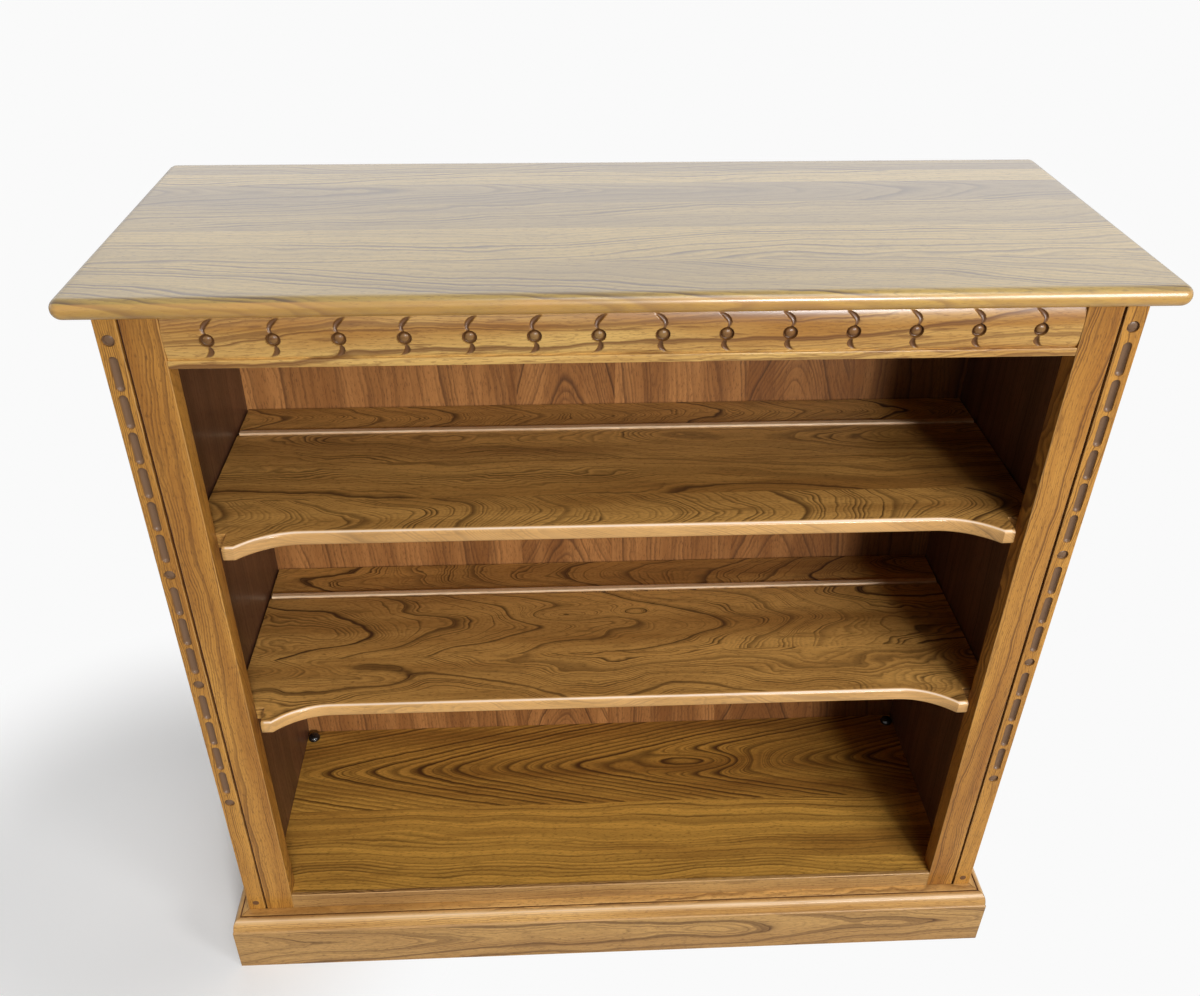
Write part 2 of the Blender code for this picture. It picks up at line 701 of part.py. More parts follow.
def build_shelf(label, top_z):
    """A loose shelf with a rounded front edge and a book stop let into its top."""
    name = "shelf_" + label
    mesh = outline_mesh(name, shelf_outline(), SHELF_THICK)
    notch = FRAME_BACK_Y + SHELF_NOTCH_GAP
    recess = FACE_Y + SHELF_FRONT_SET_BACK + SHELF_RECESS
    limit = max(notch, recess) + TINY
    ear_x = STILE_INNER_X - SHELF_STILE_GAP

    def front_edge(edge):
        a, b = edge.verts
        level = abs(a.co.z - b.co.z) < TINY
        forward = a.co.y < limit and b.co.y < limit
        between = abs(a.co.x) < ear_x + TINY and abs(b.co.x) < ear_x + TINY
        rim = len({round(face.normal.z) for face in edge.link_faces}) == 2
        along_ear_side = abs(a.co.x - b.co.x) < TINY
        return level and forward and between and rim and not along_ear_side

    round_edges(mesh, front_edge, SHELF_EDGE_RADIUS, SHELF_EDGE_STEPS)
    mesh.shade_smooth()
    mesh.set_sharp_from_angle(angle=SMOOTH_ANGLE)
    shelf = add_object(name, mesh, "elm_shelf", (0, 0, top_z - SHELF_THICK / 2))
    half = SIDE_INNER_X - SHELF_END_GAP
    stop_y = BACK_FACE_Y - STOP_FROM_BACK
    groove = cutter_box("stop_groove_" + label,
                        (-half - OVERRUN, stop_y - SLIDE_FIT, top_z - STOP_LET_IN - GLUE_GAP),
                        (half + OVERRUN, stop_y + STOP_WIDTH + SLIDE_FIT, top_z + OVERRUN))
    cut(shelf, groove)

    low = Vector((-half + STOP_END_GAP, stop_y, top_z - STOP_LET_IN))
    high = Vector((half - STOP_END_GAP, stop_y + STOP_WIDTH, top_z + STOP_PROUD))
    stop = to_mesh(box_bmesh(low, high), "book_stop_" + label)
    crest = (high.z - low.z) / 2 - TINY

    def upper_edge(edge):
        a, b = edge.verts
        return a.co.z > crest and b.co.z > crest

    round_edges(stop, upper_edge, STOP_EDGE_RADIUS, 2)
    add_object("book_stop_" + label, stop, "elm_golden", middle(low, high))


def build_bottom():
    """Bottom board with its front strip and the rail behind it, and the corner caps."""
    half = SIDE_INNER_X - GLUE_GAP
    between = BETWEEN_STILES
    front = FACE_Y + LIPPING_THICK + GLUE_GAP
    notch = FRAME_BACK_Y + GLUE_GAP
    rear = BACK_FACE_Y - GLUE_GAP
    outline = [(half, rear), (half, notch), (between, notch), (between, front),
               (-between, front), (-between, notch), (-half, notch), (-half, rear)]
    mesh = outline_mesh("bottom_board", outline, BOTTOM_THICK)
    board = add_object("bottom_board", mesh, "elm_shelf", (0, 0, BOTTOM_TOP_Z - BOTTOM_THICK / 2))
    radius = CAP_STEM_RADIUS + HOLE_CLEARANCE
    hole = drill_mesh("cap_hole", radius, CAP_STEM_LENGTH + GLUE_GAP)
    profile = [(0, CAP_HEIGHT)]
    for k in range(1, CAP_RINGS + 1):
        angle = math.pi / 2 * k / CAP_RINGS
        height = GLUE_GAP + (CAP_HEIGHT - GLUE_GAP) * math.cos(angle)
        profile.append((CAP_RADIUS * math.sin(angle), height))
    profile += [(CAP_STEM_RADIUS, GLUE_GAP), (CAP_STEM_RADIUS, -CAP_STEM_LENGTH), (0, -CAP_STEM_LENGTH)]
    pieces = []
    for side, label in ((-1, "left"), (1, "right")):
        place = Vector((side * (SIDE_INNER_X - CAP_FROM_SIDE), BACK_FACE_Y - CAP_FROM_BACK, BOTTOM_TOP_Z))
        pieces.append((hole, Matrix.Translation(place)))
        name = "corner_cap_" + label
        add_object(name, turned_mesh(name, profile), "black_plastic", place)
    cut(board, add_cutter("cap_holes", join_meshes("cap_holes", pieces)))

    top = BOTTOM_TOP_Z + LIPPING_PROUD
    add_box("bottom_lipping", (-between, FACE_Y, top - LIPPING_HEIGHT),
            (between, FACE_Y + LIPPING_THICK, top), "elm_golden")
    rail_top = BOTTOM_UNDER_Z - GLUE_GAP
    add_box("bottom_front_rail", (-between, front, rail_top - FRONT_RAIL_HEIGHT),
            (between, front + FRONT_RAIL_THICK, rail_top), "hidden_softwood", 0)


def build_back():
    """Back panel in its grooves and the two rails behind it."""
    reach = SIDE_INNER_X + BACK_GROOVE_DEPTH - GLUE_GAP
    add_box("back_panel", (-reach, BACK_FACE_Y, BOTTOM_UNDER_Z),
            (reach, BACK_REAR_Y, CASE_TOP_Z), "elm_red_veneer", 0)
    half = SIDE_INNER_X - GLUE_GAP
    rail_front = BACK_REAR_Y + GLUE_GAP
    add_box("rear_top_rail", (-half, rail_front, CASE_TOP_Z - REAR_TOP_RAIL_HEIGHT),
            (half, rail_front + REAR_RAIL_THICK, CASE_TOP_Z), "hidden_softwood")
    add_box("rear_bottom_rail", (-half, rail_front, 0),
            (half, rail_front + REAR_RAIL_THICK, BOTTOM_UNDER_Z), "hidden_softwood")


def build_top_fixings(top):
    """Battens under the top board and the screws driven up through them."""
    hole_radius = SCREW_RADIUS + HOLE_CLEARANCE
    shank = BATTEN_SIZE + GLUE_GAP + SCREW_BITE
    batten_bottom = CASE_TOP_Z - BATTEN_SIZE
    profile = [
        (0, shank),
        (SCREW_RADIUS, shank),
        (SCREW_RADIUS, -GLUE_GAP),
        (SCREW_HEAD_RADIUS, -GLUE_GAP),
        (SCREW_HEAD_RADIUS, -SCREW_HEAD_HEIGHT),
        (0, -SCREW_HEAD_HEIGHT),
    ]
    reach = shank + GLUE_GAP
    hole = drill_mesh("screw_hole", hole_radius, OVERRUN, reach)
    pieces = []
    battens = []
    for side, label in ((-1, "left"), (1, "right")):
        outer = side * (SIDE_INNER_X - GLUE_GAP)
        inner = side * (SIDE_INNER_X - GLUE_GAP - BATTEN_SIZE)
        batten = add_box("top_batten_" + label,
                         (min(outer, inner), FRAME_BACK_Y + BATTEN_END_GAP, batten_bottom),
                         (max(outer, inner), BACK_FACE_Y - BATTEN_END_GAP, CASE_TOP_Z), "hidden_softwood", 0)
        battens.append(batten)
        front_y = FACE_Y + SCREW_FRONT_FROM_FACE
        rear_y = BACK_FACE_Y - SCREW_REAR_FROM_BACK
        for place, screw_y in (("front", front_y), ("rear", rear_y)):
            spot = Vector(((outer + inner) / 2, screw_y, batten_bottom))
            name = "top_screw_" + place + "_" + label
            add_object(name, turned_mesh(name, profile, BEAD_STEPS), "zinc_steel", spot)
            pieces.append((hole, Matrix.Translation(spot)))
    drill = add_cutter("screw_holes", join_meshes("screw_holes", pieces))
    for obj in battens + [top]:
        cut(obj, drill)


# Section of the base moulding from its top inner edge outwards and down,
# as shares of how far it stands proud and of its height
MOULDING_SHARES = (
    (0.00, 1.00),
    (0.40, 1.00),
    (0.43, 0.92),
    (0.49, 0.92),
    (0.52, 0.99),
    (0.70, 0.97),
    (0.80, 0.86),
    (0.88, 0.55),
    (0.95, 0.10),
    (0.95, 0.00),
    (0.00, 0.00),
)


def plinth_shares():
    """Section of the plinth board in the same shares, with its eased top edge."""
    ease = PLINTH_ARRIS / PLINTH_HEIGHT
    ease_out = PLINTH_ARRIS / PLINTH_FRONT_PROUD
    return ((0, 1), (1 - ease_out, 1), (1, 1 - ease), (1, 0), (0, 0))


def mitred_run(name, shares, height, bottom_z, side, material):
    """One straight run of plinth or moulding, mitred at the front corners.

    side 0 is the front run; -1 and 1 are the returns along the sides.
    """
    front_x = CASE_HALF + PLINTH_SIDE_PROUD
    front_y = FACE_Y - PLINTH_FRONT_PROUD
    if side == 0:
        run = 2 * (front_x + OVERRUN)
        start = FACE_Y - GLUE_GAP
        reach = PLINTH_FRONT_PROUD - GLUE_GAP
        section = [(start - u * reach, bottom_z + v * height) for u, v in shares]
        turn = Matrix(((0, 0, 1, 0), (1, 0, 0, 0), (0, 1, 0, 0), (0, 0, 0, 1)))
        shift = Matrix.Identity(4)
    else:
        run = CASE_BACK_Y - front_y + OVERRUN
        start = CASE_HALF + GLUE_GAP
        reach = PLINTH_SIDE_PROUD - GLUE_GAP
        section = [(side * (start + u * reach), bottom_z + v * height) for u, v in shares]
        turn = Matrix(((1, 0, 0, 0), (0, 0, 1, 0), (0, 1, 0, 0), (0, 0, 0, 1)))
        shift = Matrix.Translation((0, CASE_BACK_Y - run / 2, 0))
    mesh = outline_mesh(name, section, run)
    mesh.transform(shift @ turn)
    bm = bmesh.new()
    bm.from_mesh(mesh)
    bmesh.ops.recalc_face_normals(bm, faces=bm.faces)
    for corner in (-1, 1):
        if side not in (0, corner):
            continue
        along = Vector((corner * PLINTH_SIDE_PROUD, -PLINTH_FRONT_PROUD, 0)).normalized()
        normal = Vector((corner * -along.y, corner * along.x, 0))
        if side != 0:
            normal = -normal
        point = Vector((corner * CASE_HALF, FACE_Y, 0)) - normal * GLUE_GAP / 2
        whole = bm.verts[:] + bm.edges[:] + bm.faces[:]
        done = bmesh.ops.bisect_plane(bm, geom=whole, plane_co=point, plane_no=normal,
                                      clear_outer=True, dist=WELD_DISTANCE)
        rim = [item for item in done["geom_cut"] if isinstance(item, bmesh.types.BMEdge)]
        bmesh.ops.holes_fill(bm, edges=rim, sides=0)
    bmesh.ops.recalc_face_normals(bm, faces=bm.faces)
    bm.to_mesh(mesh)
    bm.free()
    return add_object(name, mesh, material)


def build_base():
    """Plinth boards, base mouldings and the glue blocks in the corners."""
    for side, label in ((0, "front"), (-1, "left"), (1, "right")):
        mitred_run("plinth_" + label, plinth_shares(), PLINTH_HEIGHT, 0, side, "elm_golden")
        mitred_run("base_moulding_" + label, MOULDING_SHARES, MOULDING_HEIGHT,
                   PLINTH_HEIGHT + GLUE_GAP, side, "elm_golden")
    top = BOTTOM_UNDER_Z - GLUE_GAP
    bottom = max(BLOCK_FLOOR_GAP, top - BLOCK_HEIGHT)
    front_y = max(FRAME_BACK_Y, FACE_Y + LIPPING_THICK + GLUE_GAP + FRONT_RAIL_THICK) + GLUE_GAP
    rear_y = BACK_REAR_Y
    for side, label in ((-1, "left"), (1, "right")):
        x = side * (SIDE_INNER_X - GLUE_GAP)
        for place, y, way in (("front", front_y, 1), ("rear", rear_y, -1)):
            outline = [(x, y), (x - side * BLOCK_LEG, y), (x, y + way * BLOCK_LEG)]
            if side * way > 0:
                outline.reverse()
            name = "glue_block_" + place + "_" + label
            mesh = outline_mesh(name, outline, top - bottom)
            add_object(name, mesh, "hidden_softwood", (0, 0, (top + bottom) / 2))


def main():
    """Build the whole bookcase."""
    clear_scene()
    make_collection(COLLECTION)
    make_collection(CUTTER_COLLECTION)
    top = build_top()
    for side, label in ((-1, "left"), (1, "right")):
        build_front_frame(side, label)
        build_side(side, label)
    build_frieze()
    build_bottom()
    build_back()
    build_top_fixings(top)
    build_shelf("upper", SHELF_UPPER_TOP_Z)
    build_shelf("lower", SHELF_LOWER_TOP_Z)
    build_base()


main()
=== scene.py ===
"""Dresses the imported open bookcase: carved and moulded surfaces, elm figure, lacquer, studio and camera.

The object stands on its plinth with +Z up, its front towards -Y and its
origin at the centre of its footprint. All lengths are in metres.
"""

import logging
import math
from dataclasses import dataclass, field, replace
from enum import Enum

import bmesh
import bpy
import numpy as np
from mathutils import Matrix, Vector

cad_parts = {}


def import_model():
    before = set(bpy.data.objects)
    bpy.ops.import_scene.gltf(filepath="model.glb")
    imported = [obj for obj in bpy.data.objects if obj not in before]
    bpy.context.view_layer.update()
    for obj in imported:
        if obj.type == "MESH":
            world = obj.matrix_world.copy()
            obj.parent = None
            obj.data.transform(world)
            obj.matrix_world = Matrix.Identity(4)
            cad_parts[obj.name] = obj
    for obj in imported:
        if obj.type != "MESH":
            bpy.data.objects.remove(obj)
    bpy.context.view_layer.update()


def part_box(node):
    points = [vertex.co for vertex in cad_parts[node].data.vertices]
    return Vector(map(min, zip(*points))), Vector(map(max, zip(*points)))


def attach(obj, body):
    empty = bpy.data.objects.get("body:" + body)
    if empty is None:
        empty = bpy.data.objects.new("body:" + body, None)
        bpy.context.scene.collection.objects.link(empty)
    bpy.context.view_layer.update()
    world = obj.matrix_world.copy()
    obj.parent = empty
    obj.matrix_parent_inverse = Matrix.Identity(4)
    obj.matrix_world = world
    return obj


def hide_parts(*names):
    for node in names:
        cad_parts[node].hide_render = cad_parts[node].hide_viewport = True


LOG = logging.getLogger("bookcase")
PHOTO_WIDTH = 1200
PHOTO_HEIGHT = 996
SENSOR_MM = 36
CREASE = math.radians(32)
SIDES = ((-1, "left"), (1, "right"))
CORNERS = ("front_left", "front_right", "rear_left", "rear_right")
# Points closer than this are one point; a ring on its axis is this wide; a radius of this size does not show.
MERGE = 0.000002
AXIS_RADIUS = 0.00001
HAIR = 0.0002
Array = np.ndarray
Piece = bpy.types.Object
Material = bpy.types.Material
Node = bpy.types.Node
Socket = bpy.types.NodeSocket
Sockets = bpy.types.bpy_prop_collection
Term = float | tuple[float, ...] | Node | Socket


class Grain(Enum):
    """Which way a board's grain runs, with its across and through axes."""

    LEVEL_FLAT = ((1, 0, 0), (0, 1, 0), (0, 0, 1))
    LEVEL_UPRIGHT = ((1, 0, 0), (0, 0, 1), (0, -1, 0))
    UPRIGHT_FRONT = ((0, 0, 1), (1, 0, 0), (0, 1, 0))
    UPRIGHT_SIDE = ((0, 0, 1), (0, 1, 0), (-1, 0, 0))
    DEEP_UPRIGHT = ((0, 1, 0), (0, 0, 1), (1, 0, 0))


def linear(colour: str) -> tuple[float, float, float, float]:
    """Turn an sRGB hex colour to linear red, green, blue and a full alpha.

    Args:
        colour: six hex digits after a hash.

    Returns:
        Four numbers for a colour socket.
    """
    parts = [int(colour[k:k + 2], 16) / 255 for k in (1, 3, 5)]
    light = [c / 12.92 if c <= 0.04045 else ((c + 0.055) / 1.055) ** 2.4 for c in parts]
    return (light[0], light[1], light[2], 1.0)


class Graph:
    """The node tree of a material or a world, with short ways to add to it.

    A term is a number, a row of numbers, a node (its first output) or an output socket.
    """

    def __init__(self, owner: Material | bpy.types.World) -> None:
        """Take the owner's tree and empty it."""
        owner.use_nodes = True
        self.owner = owner
        self.tree = owner.node_tree
        self.tree.nodes.clear()

    def put(self, kind: str, inputs: dict[str | int, Term] | None = None, **settings: object) -> Node:
        """Add one node with its settings, values and links.

        Args:
            kind: the node's type without its ShaderNode prefix.
            inputs: socket name or number to its term.
            settings: properties of the node.

        Returns:
            The new node.
        """
        node = self.tree.nodes.new("ShaderNode" + kind)
        for name, value in settings.items():
            setattr(node, name, value)
        for key, term in (inputs or {}).items():
            if isinstance(term, Node):
                term = term.outputs[0]
            if isinstance(term, Socket):
                self.tree.links.new(term, node.inputs[key])
            else:
                node.inputs[key].default_value = term
        return node

    def maths(self, operation: str, *terms: Term, clamp: bool = False) -> Node:
        """Work out one number from up to three."""
        return self.put("Math", dict(enumerate(terms)), operation=operation, use_clamp=clamp)

    def vector(self, operation: str, *terms: Term) -> Node:
        """Work out one vector from up to three terms."""
        return self.put("VectorMath", dict(enumerate(terms)), operation=operation)

    def remap(self, value: Term, low: float, high: float, start: float = 0.0, end: float = 1.0,
              kind: str = "LINEAR") -> Node:
        """Map the range low to high onto start to end, and hold the value at both ends."""
        return self.put("MapRange", {"Value": value, "From Min": low, "From Max": high, "To Min": start,
                                     "To Max": end}, interpolation_type=kind)

    def mix(self, share: Term, under: Term, over: str) -> Socket:
        """Lay a share of a hex colour over another colour."""
        return self.put("Mix", {0: share, 6: under, 7: linear(over)}, data_type="RGBA").outputs[2]

    def noise(self, place: Term, scale: float = 1.0, detail: float = 2.0, broken: float = 0.5) -> Node:
        """Add a noise of so many waves per metre."""
        return self.put("TexNoise", {"Vector": place, "Scale": scale, "Detail": detail, "Roughness": broken})

    def place(self) -> Socket:
        """Give the shaded point in the object's own metres."""
        return self.put("TexCoord").outputs["Object"]

    def split(self, vector: Term) -> Sockets:
        """Give the three coordinates of a vector."""
        return self.put("SeparateXYZ", {0: vector}).outputs

    def bump(self, height: Term, strength: float, depth: float, sunk: bool = False) -> Node:
        """Tilt the surface by a height, or by a depth if it is sunk."""
        return self.put("Bump", {"Strength": strength, "Distance": depth, "Height": height}, invert=sunk)

    def surface(self, colour: Term, rough: Term, bump: Term, more: dict[str, float] | None = None) -> None:
        """End the tree in a Principled surface."""
        inputs = {"Base Color": colour, "Roughness": rough, "Normal": bump, **(more or {})}
        self.put("OutputMaterial", {0: self.put("BsdfPrincipled", inputs)})


def arc(start: float, end: float, steps: int) -> Array:
    """Angles from start to end in degrees, as radians, both ends included."""
    return np.radians(np.linspace(start, end, steps + 1))


def both_ways(half: Array, sign: int = -1) -> Array:
    """Repeat values from the middle outward on the other side, with that sign."""
    return np.concatenate([sign * half[:0:-1], half])


def each(values: Array, count: int) -> Array:
    """Give every ring the same row of values."""
    return np.tile(values, (count, 1))


def skin(name: str, rings: Array, marks: dict[str, Array] | None = None,
         crease: float = CREASE) -> Piece:
    """Skin a stack of closed rings and close both ends.

    Point (i, j) of the surface is point j of ring i; neighbours in i and j make
    one four-sided face, j wraps round, and the first and last rings are filled.
    Where the volume comes out negative, every face is turned over.

    Args:
        name: name of the piece.
        rings: array of rings, points and three coordinates.
        marks: name of a point attribute to its values, one per ring point.
        crease: angle above which an edge is shaded sharp.

    Returns:
        The finished object, at the origin.
    """
    levels, around = rings.shape[:2]
    flat = rings.reshape(-1, 3)
    index = np.arange(levels * around).reshape(levels, around)
    right = np.roll(index, -1, axis=1)
    quads = np.stack([index[:-1], right[:-1], right[1:], index[1:]], axis=-1).reshape(-1, 4)
    a, b, c, d = (flat[quads[:, k]] - flat.mean(axis=0) for k in range(4))
    turn = 1 if np.sum(a * (np.cross(b, c) + np.cross(c, d))) >= 0 else -1
    ends = [index[0][::-turn].tolist(), index[-1][::turn].tolist()]
    mesh = bpy.data.meshes.new(name)
    mesh.from_pydata(flat, [], quads[:, ::turn].tolist() + ends)
    for mark, values in (marks or {}).items():
        layer = mesh.attributes.new(mark, "FLOAT", "POINT")
        layer.data.foreach_set("value", np.ascontiguousarray(values, np.float32).reshape(-1))
    shell = bmesh.new()
    shell.from_mesh(mesh)
    bmesh.ops.remove_doubles(shell, verts=shell.verts, dist=MERGE)
    bmesh.ops.dissolve_degenerate(shell, edges=shell.edges, dist=MERGE)
    shell.to_mesh(mesh)
    shell.free()
    mesh.shade_smooth()
    mesh.set_sharp_from_angle(angle=crease)
    piece = bpy.data.objects.new(name, mesh)
    bpy.context.scene.collection.objects.link(piece)
    return piece


def turned(name: str, profile: Array, place: Vector, axis: Vector, steps: int = 32) -> Piece:
    """Turn a profile round an axis.

    Ring i holds the points at radius profile[i, 0] and height profile[i, 1]
    above the place along the axis.

    Args:
        name: name of the piece.
        profile: radius and height of each ring, from the lower end up.
        place: point on the axis at height zero.
        axis: direction of the axis, one long.
        steps: points in a ring.

    Returns:
        The finished object.
    """
    around = np.linspace(0, 2 * math.pi, steps, endpoint=False)
    radius = np.maximum(profile[:, :1], AXIS_RADIUS)
    height = np.broadcast_to(profile[:, 1:], (len(profile), steps))
    upright = np.stack([radius * np.cos(around), radius * np.sin(around), height], axis=-1)
    turn = np.array(axis.to_track_quat("Z", "Y").to_matrix())
    return skin(name, upright @ turn.T + np.array(place))


def eased(corners: Array, radii: Array, steps: int = 3) -> tuple[Array, Array]:
    """Round the corners of a closed outline.

    Each corner gives way to points on a curve that leaves one side at the
    radius's distance, bends past the corner and joins the next side.

    Args:
        corners: outline points, two coordinates each.
        radii: how far from each corner the rounding starts.
        steps: spans in each rounding.

    Returns:
        The rounded outline, and for each point how near it is to an arris, 0 to 1.
    """
    ends = []
    for shift in (1, -1):
        way = np.roll(corners, shift, axis=0) - corners
        way /= np.maximum(np.linalg.norm(way, axis=1, keepdims=True), 1e-9)
        ends.append((corners + way * radii[:, None])[:, None])
    share = np.linspace(0, 1, steps + 1)[None, :, None]
    bend = ends[0] * (1 - share) ** 2 + 2 * corners[:, None] * share * (1 - share) + ends[1] * share ** 2
    wear = np.broadcast_to(np.sin(share[..., 0] * math.pi), bend.shape[:2]) * (radii[:, None] > HAIR)
    return bend.reshape(-1, 2), wear.reshape(-1)


def carried(section: Array, stations: Array, axis: int) -> Array:
    """Carry a flat section straight along an axis.

    Ring i is the section, on the other two axes in their order, at station i.

    Args:
        section: points of two coordinates.
        stations: places of the rings along the axis.
        axis: 0 for X, 1 for Y or 2 for Z.

    Returns:
        The rings.
    """
    rings = np.empty((len(stations), len(section), 3))
    rings[:, :, [k for k in range(3) if k != axis]] = section
    rings[:, :, axis] = stations[:, None]
    return rings


def round_out(u: Array, z: Array, centres: Array, block: float,
              kept: float) -> tuple[Array, Array]:
    """Bend square grid lines round each centre into circles.

    A point at square distance m from a centre moves onto the circle of radius m
    inside the kept radius, and blends back to its own place at the block's border.

    Args:
        u: distance from the centre line.
        z: height.
        centres: heights of the centres.
        block: half size of the bent square.
        kept: radius up to which the lines are full circles.

    Returns:
        The bent u and z.
    """
    away = z[..., None] - centres
    nearest = np.abs(away).argmin(axis=-1)
    w = np.take_along_axis(away, nearest[..., None], axis=-1)[..., 0]
    square = np.maximum(np.abs(u), np.abs(w))
    flat = np.hypot(u, w)
    share = np.clip((block - square) / (block - kept), 0, 1)
    factor = np.where((square < block) & (flat > 0), square / np.maximum(flat, 1e-9), 1)
    factor = 1 + (factor - 1) * share
    return u * factor, z + w * (factor - 1)


@dataclass(frozen=True)
class Sinking:
    """A ball left standing in a round sinking: both radii, the depth, the ball's top and the wall's bend."""

    ball: float
    rim: float
    depth: float
    top: float
    bend: float

    def depths(self, far: Array) -> Array:
        """Depth at distances from the centre: a dome up to the ball's radius, then a hollow wall to the rim.

        Args:
            far: distance of each point from the centre.

        Returns:
            The depths, zero beyond the rim.
        """
        wall = np.clip((far - self.ball) / (self.rim - self.ball), 0, 1)
        dish = self.depth * np.sqrt(np.maximum(1 - wall ** self.bend, 0))
        dome = np.sqrt(np.maximum(1 - (far / self.ball) ** 2, 0))
        ball = self.depth - (self.depth - self.top) * dome
        return np.where(far < self.ball, ball, np.where(far < self.rim, dish, 0))


@dataclass(frozen=True)
class Stave:
    """One glued strip of a board and the figure that the saw has laid open in it.

    edge: where the strip begins, across the board.
    heart: where its arches are centred, across the board.
    arch: dark lines crossed per metre across the grain, far from the heart.
    run: dark lines crossed per metre along it; arches point the way the sign says.
    tone: 0 for pale to 1 for deep.
    line: strength of the dark lines.
    shift: slide of the figure along the grain.
    """

    edge: float
    heart: float
    arch: float
    run: float
    tone: float = 0.5
    line: float = 0.6
    shift: float = 0.0


@dataclass(frozen=True)
class Eye:
    """A closed oval in a board's figure, where the saw has just touched a bump of the tree.

    along, across: its centre. long, wide: its half axes. rings: how many it closes.
    """

    along: float
    across: float
    long: float
    wide: float
    rings: float


@dataclass(frozen=True)
class Palette:
    """Colours of one stained and lacquered elm, as sRGB hex values."""

    pale: str
    deep: str
    line: str
    pore: str
    worn: str = "#dcb890"
    carved: str = "#744d2e"


# Near-white laid where an arris mark passes one: a painted highlight on the shelves' upper front arrises and
# on the moulding's slope.
PAINTED_ARRIS_HIGHLIGHT = "#fbeedd"
GOLDEN = Palette("#c9903f", "#a06826", "#613914", "#553210", "#dcae6c", "#745840")
# The stile's carved colour is near black: the quirk's faces are painted with it.
STILE = replace(GOLDEN, carved="#43200e")
# Its carved colour is darker than the posts': partly the stain the cuts take, partly painted shade in the
# gouges and the sinking.
FRIEZE = Palette("#d6ac62", "#ae7935", "#6c411c", "#7c5024", carved="#65401f")
# More olive than its golden worn colour: the flat top's palette partly paints the pale sheen on it, while the
# nose shows the golden.
TOP = Palette("#c19f4e", "#86692f", "#624a2a", "#6b5230", "#d0974a")
SHELF = Palette("#ca9850", "#956730", "#3d220d", "#4a2c12", "#e2b070")
BOTTOM = Palette("#d09c45", "#98682a", "#4a2c10", "#553413")
EDGE = Palette("#e2b068", "#b27f3c", "#67401b", "#70451e", "#e6bf8c")
VENEER = Palette("#b27a44", "#855429", "#452714", "#4f2d18")
# The side panels' palette is dark because it paints the shade inside the case.
INSIDE_PAINTED_SHADE = Palette("#6c4731", "#513423", "#2f1c12", "#332016")
# Much paler than the shelves: partly a paler strip of wood, partly a painted sheen on its rounded top.
STOP = Palette("#e6c296", "#cba176", "#a07a55", "#a07a55", "#f4dcbc")
BASE = Palette("#c3985b", "#a17643", "#4f2f16", "#533216", "#cfa168")


@dataclass(frozen=True)
class Cloud:
    """A noise stretched along the grain.

    along, across: its waves per metre. detail, broken: how broken it is.
    low, high: values of the noise at which it starts to tell and tells in full.
    """

    along: float
    across: float
    detail: float = 2.0
    broken: float = 0.5
    low: float = 0.0
    high: float = 1.0


# One wave is one cloud's size: drift 300 mm, jag 33 by 17 mm, ripple 9 by 12 mm, fleck 60 by 6 mm.
# Real pores are 0.2 mm across: these are drawn 1.2 mm so that they show in the picture.
CLOUDS = {
    "drift": Cloud(3.2, 9.0),
    "jag": Cloud(30.0, 60.0, 1.0),
    "ripple": Cloud(110.0, 80.0, 0.0),
    "veil": Cloud(9.0, 34.0, 2.0, 0.55, 0.34, 0.6),
    "shade": Cloud(2.2, 24.0, 3.0, 0.55, 0.35, 0.65),
    "fleck": Cloud(17.0, 170.0, 3.0, 0.6, 0.53, 0.7),
    "pore": Cloud(130.0, 820.0, 2.0, 0.6, 0.54, 0.68),
}
# A colour ramp holds numbers from 0 to 1: these spans bring a stave's numbers into that range.
HEART_SPAN = 2.4
ARCH_SPAN = 260.0
RUN_SPAN = 80.0
SHIFT_SPAN = 3.0
HEART_ROUND = 0.012
BELL = 0.3679
# Share of a line's width, and the line's strength there.
LINE_PROFILE = ((0.25, 1.0), (0.45, 0.8), (1.0, 0.0))
FINE_WIDTH = 0.8
# Lots up to this give a line or band its least weight; from there the weight climbs to one.
LOT_LOW = 0.15
LEAST_LINE = 0.35
LEAST_BAND = 0.15
# How much more a dark line adds to what it lies over.
LINE_OVER = 0.3
# Strength of the fine bands where the veil is thickest.
VEILED = 0.55
# The veil's low and high values for wear on arrises, and the least wear.
SCUFFED = (0.35, 0.7, 0.45)
HOLLOW_ROUGH = 0.15
HOLLOW_BUMP = 0.25
HOLLOW_DEPTH = 0.0002
OUTER_FACE = 0.47
LACQUER_IOR = 1.5


